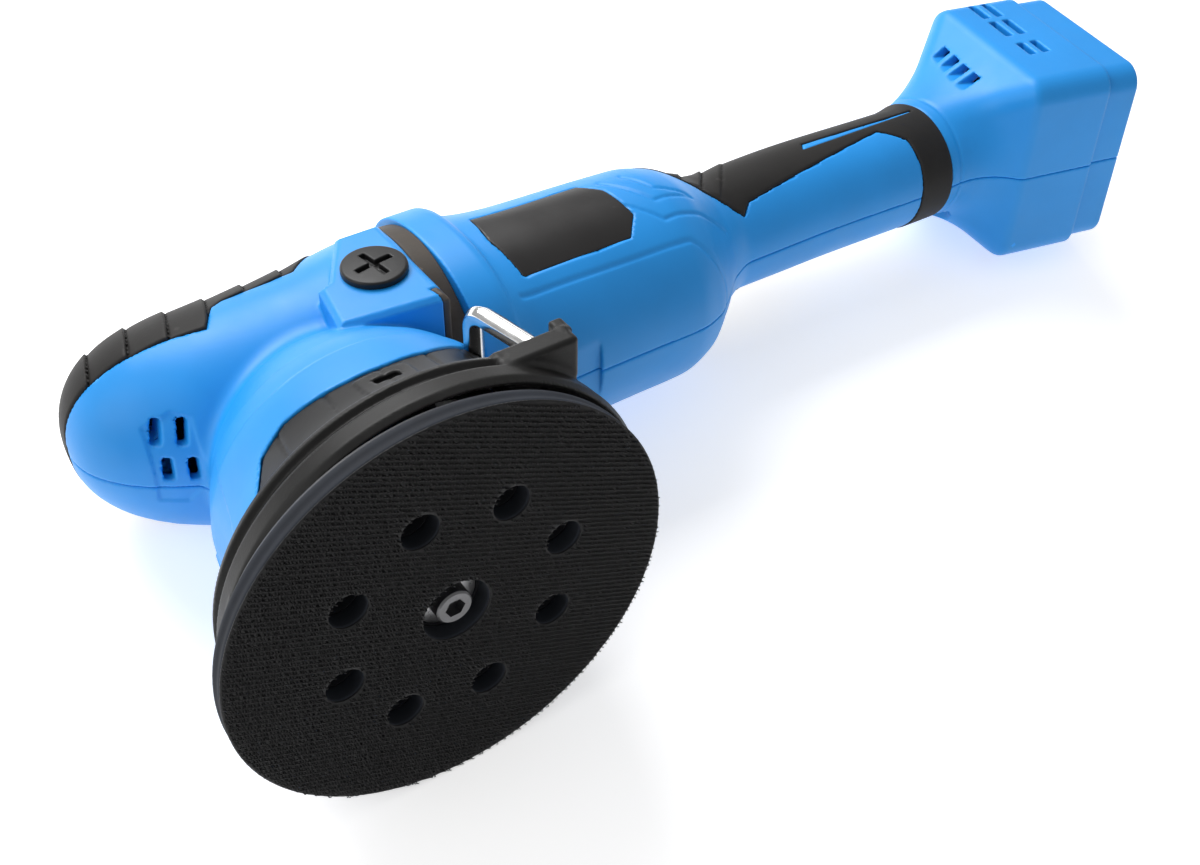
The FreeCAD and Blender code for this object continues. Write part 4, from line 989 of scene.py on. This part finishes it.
def hooks():
    """Rows of small bent hooks that cover the pad's face."""
    draw = np.random.default_rng(11)
    row_pitch, pitch = HOOK_PITCH
    spots = []
    rows = int(PAD_RADIUS / row_pitch) + 1
    per_row = int(PAD_RADIUS / pitch) + 1
    for i in range(-rows, rows + 1):
        for j in range(-per_row, per_row + 1):
            spots.append((j * pitch + (i % 2) * pitch / 2, i * row_pitch))
    spots = np.array(spots)
    c, s = math.cos(HOOK_ROW_TURN), math.sin(HOOK_ROW_TURN)
    spots = np.stack([PAD_X + spots[:, 0] * c - spots[:, 1] * s, spots[:, 0] * s + spots[:, 1] * c], 1)
    spots += draw.normal(0, 0.06, spots.shape)
    r = np.hypot(spots[:, 0] - PAD_X, spots[:, 1])
    spots = spots[(r < PAD_RADIUS - 0.5) & (pad_holes(spots[:, 0], spots[:, 1]) > 0.35)]
    count = len(spots)
    turn = draw.normal(0, 0.22, count) + HOOK_ROW_TURN + np.where(draw.random(count) < 0.5, 0, math.pi)
    size = draw.normal(1.0, 0.08, count).clip(0.8, 1.15)
    cu, su = np.cos(turn), np.sin(turn)
    ring_points = []
    for (along, height), (nx, nz) in zip(HOOK_CURVE, HOOK_NORMALS):
        for side, out in ((-1, -1), (1, -1), (1, 1), (-1, 1)):
            a = along * size + nx * HOOK_HALF_THICK * out
            b = np.full(count, side * HOOK_HALF_WIDTH)
            h = np.maximum((height - 1.0) * size + 1.0 + nz * HOOK_HALF_THICK * out, 0.03)
            across, up = spots[:, 0] + a * cu - b * su, spots[:, 1] + a * su + b * cu
            ring_points.append(np.stack([across, up, h], 1))
    point = np.stack(ring_points, 1).reshape(-1, 3)
    faces = []
    for ring_number in range(len(HOOK_CURVE) - 1):
        for k in range(4):
            a, b = ring_number * 4 + k, ring_number * 4 + (k + 1) % 4
            faces.append((a, b, b + 4, a + 4))
    last = (len(HOOK_CURVE) - 1) * 4
    faces.append((last, last + 1, last + 2, last + 3))
    faces = np.array(faces)
    step = len(HOOK_CURVE) * 4
    faces = (faces[None] + np.arange(count)[:, None, None] * step).reshape(-1, 4)
    return point, faces


def hook_layer():
    """The hook face: its backing and all its hooks, as one piece."""
    base_point, base_quad = net(hook_base, (PAD_X - 63, -63, 0.5), (PAD_X + 63, 63, 1.9), 0.35)
    hook_point, hook_quad = hooks()
    point = np.concatenate([base_point, hook_point])
    quad = np.concatenate([base_quad, hook_quad + len(base_point)])
    place(mesh_object("hook_cloth", point, quad), "hook_fabric", "hook_face", "pad")


def foam(p):
    """The cushion of the pad: a soft rim with a slight waist."""
    x, y, z = split(p)
    r = np.hypot(x - PAD_X, y)
    rim = r - 62.3 + 0.35 * ridge(z - FOAM_WAIST, 1.6) + 0.10 * np.maximum(z - 4.5, 0.0) ** 2
    return smax(smax(rim, np.abs(z - FOAM_MIDDLE) - FOAM_HALF, 0.8), -pad_holes(x, y), 0.5)


hook_layer()
solid_piece("pad_cushion", foam, (PAD_X - 63, -63, 1.0), (PAD_X + 63, 63, 7.2), 0.5, "pad_foam",
            "foam_layer", "pad")

# ---------------- materials


def fill(node, **values):
    """Sets a node's inputs. An underscore stands for a space in an input's name."""
    for key, value in values.items():
        node.inputs[key.replace("_", " ")].default_value = value


class Look:
    """A procedural material built node by node."""

    def __init__(self, name):
        self.material = bpy.data.materials.new(name)
        self.material.use_nodes = True
        self.tree = self.material.node_tree
        self.shader = self.tree.nodes["Principled BSDF"]
        self.coordinates = self.node("ShaderNodeTexCoord").outputs["Object"]

    def node(self, kind, **values):
        made = self.tree.nodes.new(kind)
        for key, value in values.items():
            setattr(made, key, value)
        return made

    def link(self, source, target):
        self.tree.links.new(source, target)

    def feed(self, name, source):
        self.link(source, self.shader.inputs[name])

    def scaled(self, scale):
        """Coordinates stretched by three factors."""
        mapping = self.node("ShaderNodeMapping")
        fill(mapping, Scale=scale)
        self.link(self.coordinates, mapping.inputs["Vector"])
        return mapping.outputs["Vector"]

    def noise(self, scale, detail=4.0, rough=0.55, at=None):
        n = self.node("ShaderNodeTexNoise")
        fill(n, Scale=scale, Detail=detail, Roughness=rough)
        self.link(at or self.coordinates, n.inputs["Vector"])
        return n.outputs["Fac"]

    def cells(self, scale):
        n = self.node("ShaderNodeTexVoronoi")
        fill(n, Scale=scale)
        self.link(self.coordinates, n.inputs["Vector"])
        return n.outputs["Distance"]

    def spread(self, source, low, high, from_low=0.3, from_high=0.7):
        """Maps a source's range to the range from low to high."""
        m = self.node("ShaderNodeMapRange")
        fill(m, From_Min=from_low, From_Max=from_high, To_Min=low, To_Max=high)
        self.link(source, m.inputs["Value"])
        return m.outputs["Result"]

    def mix(self, factor, low, high):
        """A colour between low and high, each a colour or another node's output."""
        m = self.node("ShaderNodeMix", data_type="RGBA")
        for socket_name, entry in (("A", low), ("B", high)):
            target = [i for i in m.inputs if i.name == socket_name and i.type == "RGBA"][0]
            if isinstance(entry, tuple):
                target.default_value = entry
            else:
                self.link(entry, target)
        self.link(factor, m.inputs["Factor"])
        return [o for o in m.outputs if o.type == "RGBA"][0]

    def edges(self, low, high):
        """1 on worn convex edges, 0 elsewhere."""
        g = self.node("ShaderNodeNewGeometry")
        return self.spread(g.outputs["Pointiness"], 0.0, 1.0, low, high)

    def bumps(self, *layers):
        """Stacks (height, strength, distance in mm) layers into the normal."""
        last = None
        for height, strength, distance in layers:
            b = self.node("ShaderNodeBump")
            fill(b, Strength=strength, Distance=distance * MM)
            self.link(height, b.inputs["Height"])
            if last is not None:
                self.link(last, b.inputs["Normal"])
            last = b.outputs["Normal"]
        self.feed("Normal", last)


looks = {}


def shade(colour, factor):
    return (colour[0] * factor, colour[1] * factor, colour[2] * factor, 1.0)


def plastic(name, colour, rough, grain=2600.0, worn=1.25, specular=0.38):
    """Moulded plastic: fine grain, uneven gloss and paler worn edges."""
    look = Look(name)
    cloud = look.noise(22.0, 5.0)
    base = look.mix(look.spread(cloud, 0.0, 1.0), shade(colour, 0.93), shade(colour, 1.06))
    base = look.mix(look.edges(0.52, 0.60), base, shade(colour, worn))
    look.feed("Base Color", base)
    fine = look.noise(grain, 3.0, 0.6)
    smear = look.noise(60.0, 6.0, 0.65)
    look.feed("Roughness", look.spread(smear, rough - 0.05, rough + 0.06))
    fill(look.shader, Specular_IOR_Level=specular)
    look.bumps((fine, 0.35, 0.03), (look.noise(180.0, 2.0), 0.12, 0.05))
    looks[name] = look.material


def rubber(name, colour, rough, grain=1500.0):
    """Rubber: dusty patches, a pitted surface and rubbed edges."""
    look = Look(name)
    dust = look.noise(45.0, 8.0, 0.7)
    base = look.mix(look.spread(dust, 0.0, 1.0, 0.42, 0.72), shade(colour, 0.85), shade(colour, 1.35))
    base = look.mix(look.edges(0.51, 0.58), base, shade(colour, 1.9))
    look.feed("Base Color", base)
    look.feed("Roughness", look.spread(dust, rough - 0.07, rough + 0.08))
    fill(look.shader, Specular_IOR_Level=0.22)
    look.bumps((look.noise(grain, 4.0, 0.65), 0.5, 0.06), (look.cells(900.0), 0.2, 0.04))
    looks[name] = look.material


def metal(name, colour, rough, brushed=(1.0, 1.0, 1.0), scale=900.0):
    """Metal: brushed along one axis, with faint stains."""
    look = Look(name)
    streak = look.noise(scale, 3.0, 0.6, look.scaled(brushed))
    stain = look.noise(70.0, 6.0, 0.6)
    base = look.mix(look.spread(stain, 0.0, 1.0), shade(colour, 0.82), shade(colour, 1.05))
    look.feed("Base Color", base)
    fill(look.shader, Metallic=1.0)
    look.feed("Roughness", look.spread(streak, rough - 0.05, rough + 0.09))
    look.bumps((streak, 0.25, 0.02), (look.noise(400.0, 2.0), 0.1, 0.02))
    looks[name] = look.material


BLUE = (0.012, 0.275, 0.74)
BLACK = (0.009, 0.009, 0.0095)
plastic("blue_shell", BLUE, 0.42)
rubber("grip_rubber", (0.015, 0.014, 0.0135), 0.60)
rubber("strap_rubber", (0.060, 0.050, 0.041), 0.58)
plastic("black_plastic", BLACK, 0.40, worn=2.0, specular=0.28)
rubber("shroud_rubber", (0.010, 0.0098, 0.0095), 0.42)
plastic("label_film", (0.014, 0.013, 0.013), 0.33, grain=1200.0, worn=1.6)
rubber("hook_fabric", (0.007, 0.007, 0.0075), 0.50)
rubber("pad_foam", (0.020, 0.023, 0.030), 0.78, grain=700.0)
plastic("pad_plate", (0.016, 0.017, 0.020), 0.45, worn=1.8)
metal("chrome_key", (0.78, 0.78, 0.77), 0.16, (1.0, 1.0, 0.08))
metal("steel", (0.56, 0.56, 0.57), 0.30)
metal("dark_steel", (0.17, 0.17, 0.175), 0.38)
metal("cast_alloy", (0.46, 0.46, 0.47), 0.52, scale=400.0)
metal("copper", (0.80, 0.36, 0.18), 0.32)
plastic("magnet", (0.035, 0.034, 0.036), 0.55, worn=2.0)
plastic("fan_plastic", (0.62, 0.60, 0.55), 0.48)
plastic("board_green", (0.010, 0.12, 0.045), 0.38)
metal("brass_blade", (0.78, 0.56, 0.24), 0.27)
plastic("wire_red", (0.45, 0.02, 0.018), 0.40)
metal("screw_zinc", (0.60, 0.59, 0.55), 0.30)
plastic("carbon", (0.024, 0.024, 0.025), 0.62, worn=1.8)


def paint(obj, name):
    """Gives an object one of the looks, in place of its own materials."""
    obj.data.materials.clear()
    obj.data.materials.append(looks[name])


for obj in bpy.context.scene.objects:
    if obj.type == "MESH" and "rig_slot" in obj:
        paint(obj, obj["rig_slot"])

# Looks of the CAD nodes that keep their shape.
CAD_LOOKS = {
    "steel": ("lower_bearing", "upper_bearing", "front_motor_bearing", "rear_motor_bearing", "rotor_shaft",
              "drive_spindle", "eccentric_bearing", "output_spindle", "pad_washer"),
    "dark_steel": ("motor_can", "rotor_core", "pinion_gear", "bevel_gear", "pad_screw"),
    "cast_alloy": ("gear_housing", "bearing_cover", "counterweight"),
    "screw_zinc": ("cover_screws", "housing_screws"),
    "black_plastic": ("switch_body", "speed_control", "terminal_block", "guide_rails", "switch_button",
                      "speed_dial"),
    "magnet": ("motor_magnets",), "carbon": ("carbon_brushes",), "board_green": ("control_board",),
    "brass_blade": ("terminal_blades",), "wire_red": ("wiring",), "copper": ("commutator",),
    "fan_plastic": ("cooling_fan",), "pad_plate": ("backing_plate",),
}
for name, nodes in CAD_LOOKS.items():
    for node in nodes:
        paint(frame["nodes"][node], name)

# ---------------- floor, light and camera

camera_data = bpy.data.cameras.new("camera")
camera_data.lens = 43.3
camera_data.sensor_width = 36.0
camera_data.clip_start = 0.01
camera = bpy.data.objects.new("camera", camera_data)
bpy.context.scene.collection.objects.link(camera)
# The view: turned about Z from +Y, climbing, rolled, and aimed at a point from a distance.
CAMERA_AZIMUTH = math.radians(33.0)
CAMERA_CLIMB = math.radians(38.0)
CAMERA_ROLL = math.radians(-45.5)
CAMERA_DISTANCE = 390.0 * MM
CAMERA_AIM = (Vector((54.0, -15.0, 23.0)) + Vector(SPINDLE)) * MM
ahead = Vector((math.cos(CAMERA_CLIMB) * math.sin(CAMERA_AZIMUTH),
                math.cos(CAMERA_CLIMB) * math.cos(CAMERA_AZIMUTH), math.sin(CAMERA_CLIMB)))
level = ahead.cross(Vector((0, 0, 1))).normalized()
right = level * math.cos(CAMERA_ROLL) + level.cross(ahead) * math.sin(CAMERA_ROLL)
up = right.cross(ahead)
CAMERA_AT = CAMERA_AIM - ahead * CAMERA_DISTANCE
camera.matrix_world = Matrix((
    (right.x, up.x, -ahead.x, CAMERA_AT.x), (right.y, up.y, -ahead.y, CAMERA_AT.y),
    (right.z, up.z, -ahead.z, CAMERA_AT.z), (0, 0, 0, 1)))
bpy.context.scene.camera = camera


# In metres: a camera below this height sees the floor that the tool lies on, and one above it the ground.
SWITCH_HEIGHT = -0.005
FLOOR_HALF = 3.0


def floor_look(name, below):
    """A pale floor that is there only for cameras below, or only for those above, the switch height."""
    look = Look(name)
    to_world = look.node("ShaderNodeVectorTransform", vector_type="POINT", convert_from="CAMERA",
                         convert_to="WORLD")
    to_world.inputs["Vector"].default_value = (0.0, 0.0, 0.0)
    parts = look.node("ShaderNodeSeparateXYZ")
    look.link(to_world.outputs["Vector"], parts.inputs["Vector"])
    test = look.node("ShaderNodeMath", operation="LESS_THAN" if below else "GREATER_THAN")
    test.inputs[1].default_value = SWITCH_HEIGHT
    look.link(parts.outputs["Z"], test.inputs[0])
    clear = look.node("ShaderNodeBsdfTransparent")
    blend = look.node("ShaderNodeMixShader")
    look.link(test.outputs["Value"], blend.inputs["Fac"])
    look.link(clear.outputs["BSDF"], blend.inputs[1])
    look.link(look.shader.outputs["BSDF"], blend.inputs[2])
    look.link(blend.outputs["Shader"], look.tree.nodes["Material Output"].inputs["Surface"])
    tone = look.spread(look.noise(3.0), 0.0, 1.0)
    look.feed("Base Color", look.mix(tone, (0.90, 0.90, 0.905, 1), (0.93, 0.93, 0.935, 1)))
    fill(look.shader, Roughness=0.6, Specular_IOR_Level=0.3)
    fill(look.shader, Emission_Strength=0.5, Emission_Color=(1.0, 1.0, 1.0, 1.0))
    return look.material


def floor(name, centre, normal, below):
    """A large square floor through a point, facing along its normal."""
    normal = Vector(normal).normalized()
    turn = normal.to_track_quat("Z", "Y").to_matrix()
    corners = [turn @ Vector((sx * FLOOR_HALF, sy * FLOOR_HALF, 0)) + Vector(centre)
               for sx, sy in ((-1, -1), (1, -1), (1, 1), (-1, 1))]
    mesh = bpy.data.meshes.new(name)
    mesh.from_pydata([tuple(c) for c in corners], [], [(0, 1, 2, 3)])
    mesh.materials.append(floor_look(name, below))
    obj = bpy.data.objects.new(name, mesh)
    bpy.context.scene.collection.objects.link(obj)


# The tool lies on its +Y side, tipped back a little towards the casing.
LYING_TIP = math.radians(14.0)
LYING_DEPTH = 60.5 * MM
GROUND_GAP = 0.4 * MM
LIE = Vector((0.0, -math.cos(LYING_TIP), -math.sin(LYING_TIP)))
floor("lying_floor", LIE * -LYING_DEPTH, LIE, True)
floor("ground", (0.0, 0.0, -GROUND_GAP), (0, 0, 1), False)

world = bpy.data.worlds.new("studio")
world.use_nodes = True
fill(world.node_tree.nodes["Background"], Color=(1.0, 1.0, 1.0, 1.0), Strength=0.45)
bpy.context.scene.world = world

# Every light is aimed at the middle of the tool.
AIM = Vector((0.10, 0.0, 0.09))


def soft_light(name, at, size, power):
    """A rectangular light. Places and sizes are in metres, power in watts."""
    data = bpy.data.lights.new(name, "AREA")
    data.shape = "RECTANGLE"
    data.size, data.size_y = size
    data.energy = power
    obj = bpy.data.objects.new(name, data)
    obj.location = at
    obj.rotation_euler = (AIM - Vector(at)).to_track_quat("-Z", "Y").to_euler()
    bpy.context.scene.collection.objects.link(obj)


soft_light("key_light", (0.05, -0.95, 0.75), (0.9, 0.7), 15.0)
soft_light("fill_light", (-0.9, -0.6, 0.1), (0.8, 0.8), 3.5)
soft_light("back_light", (0.7, 0.5, 0.9), (0.8, 0.6), 3.0)

bpy.context.scene.view_settings.view_transform = "Standard"
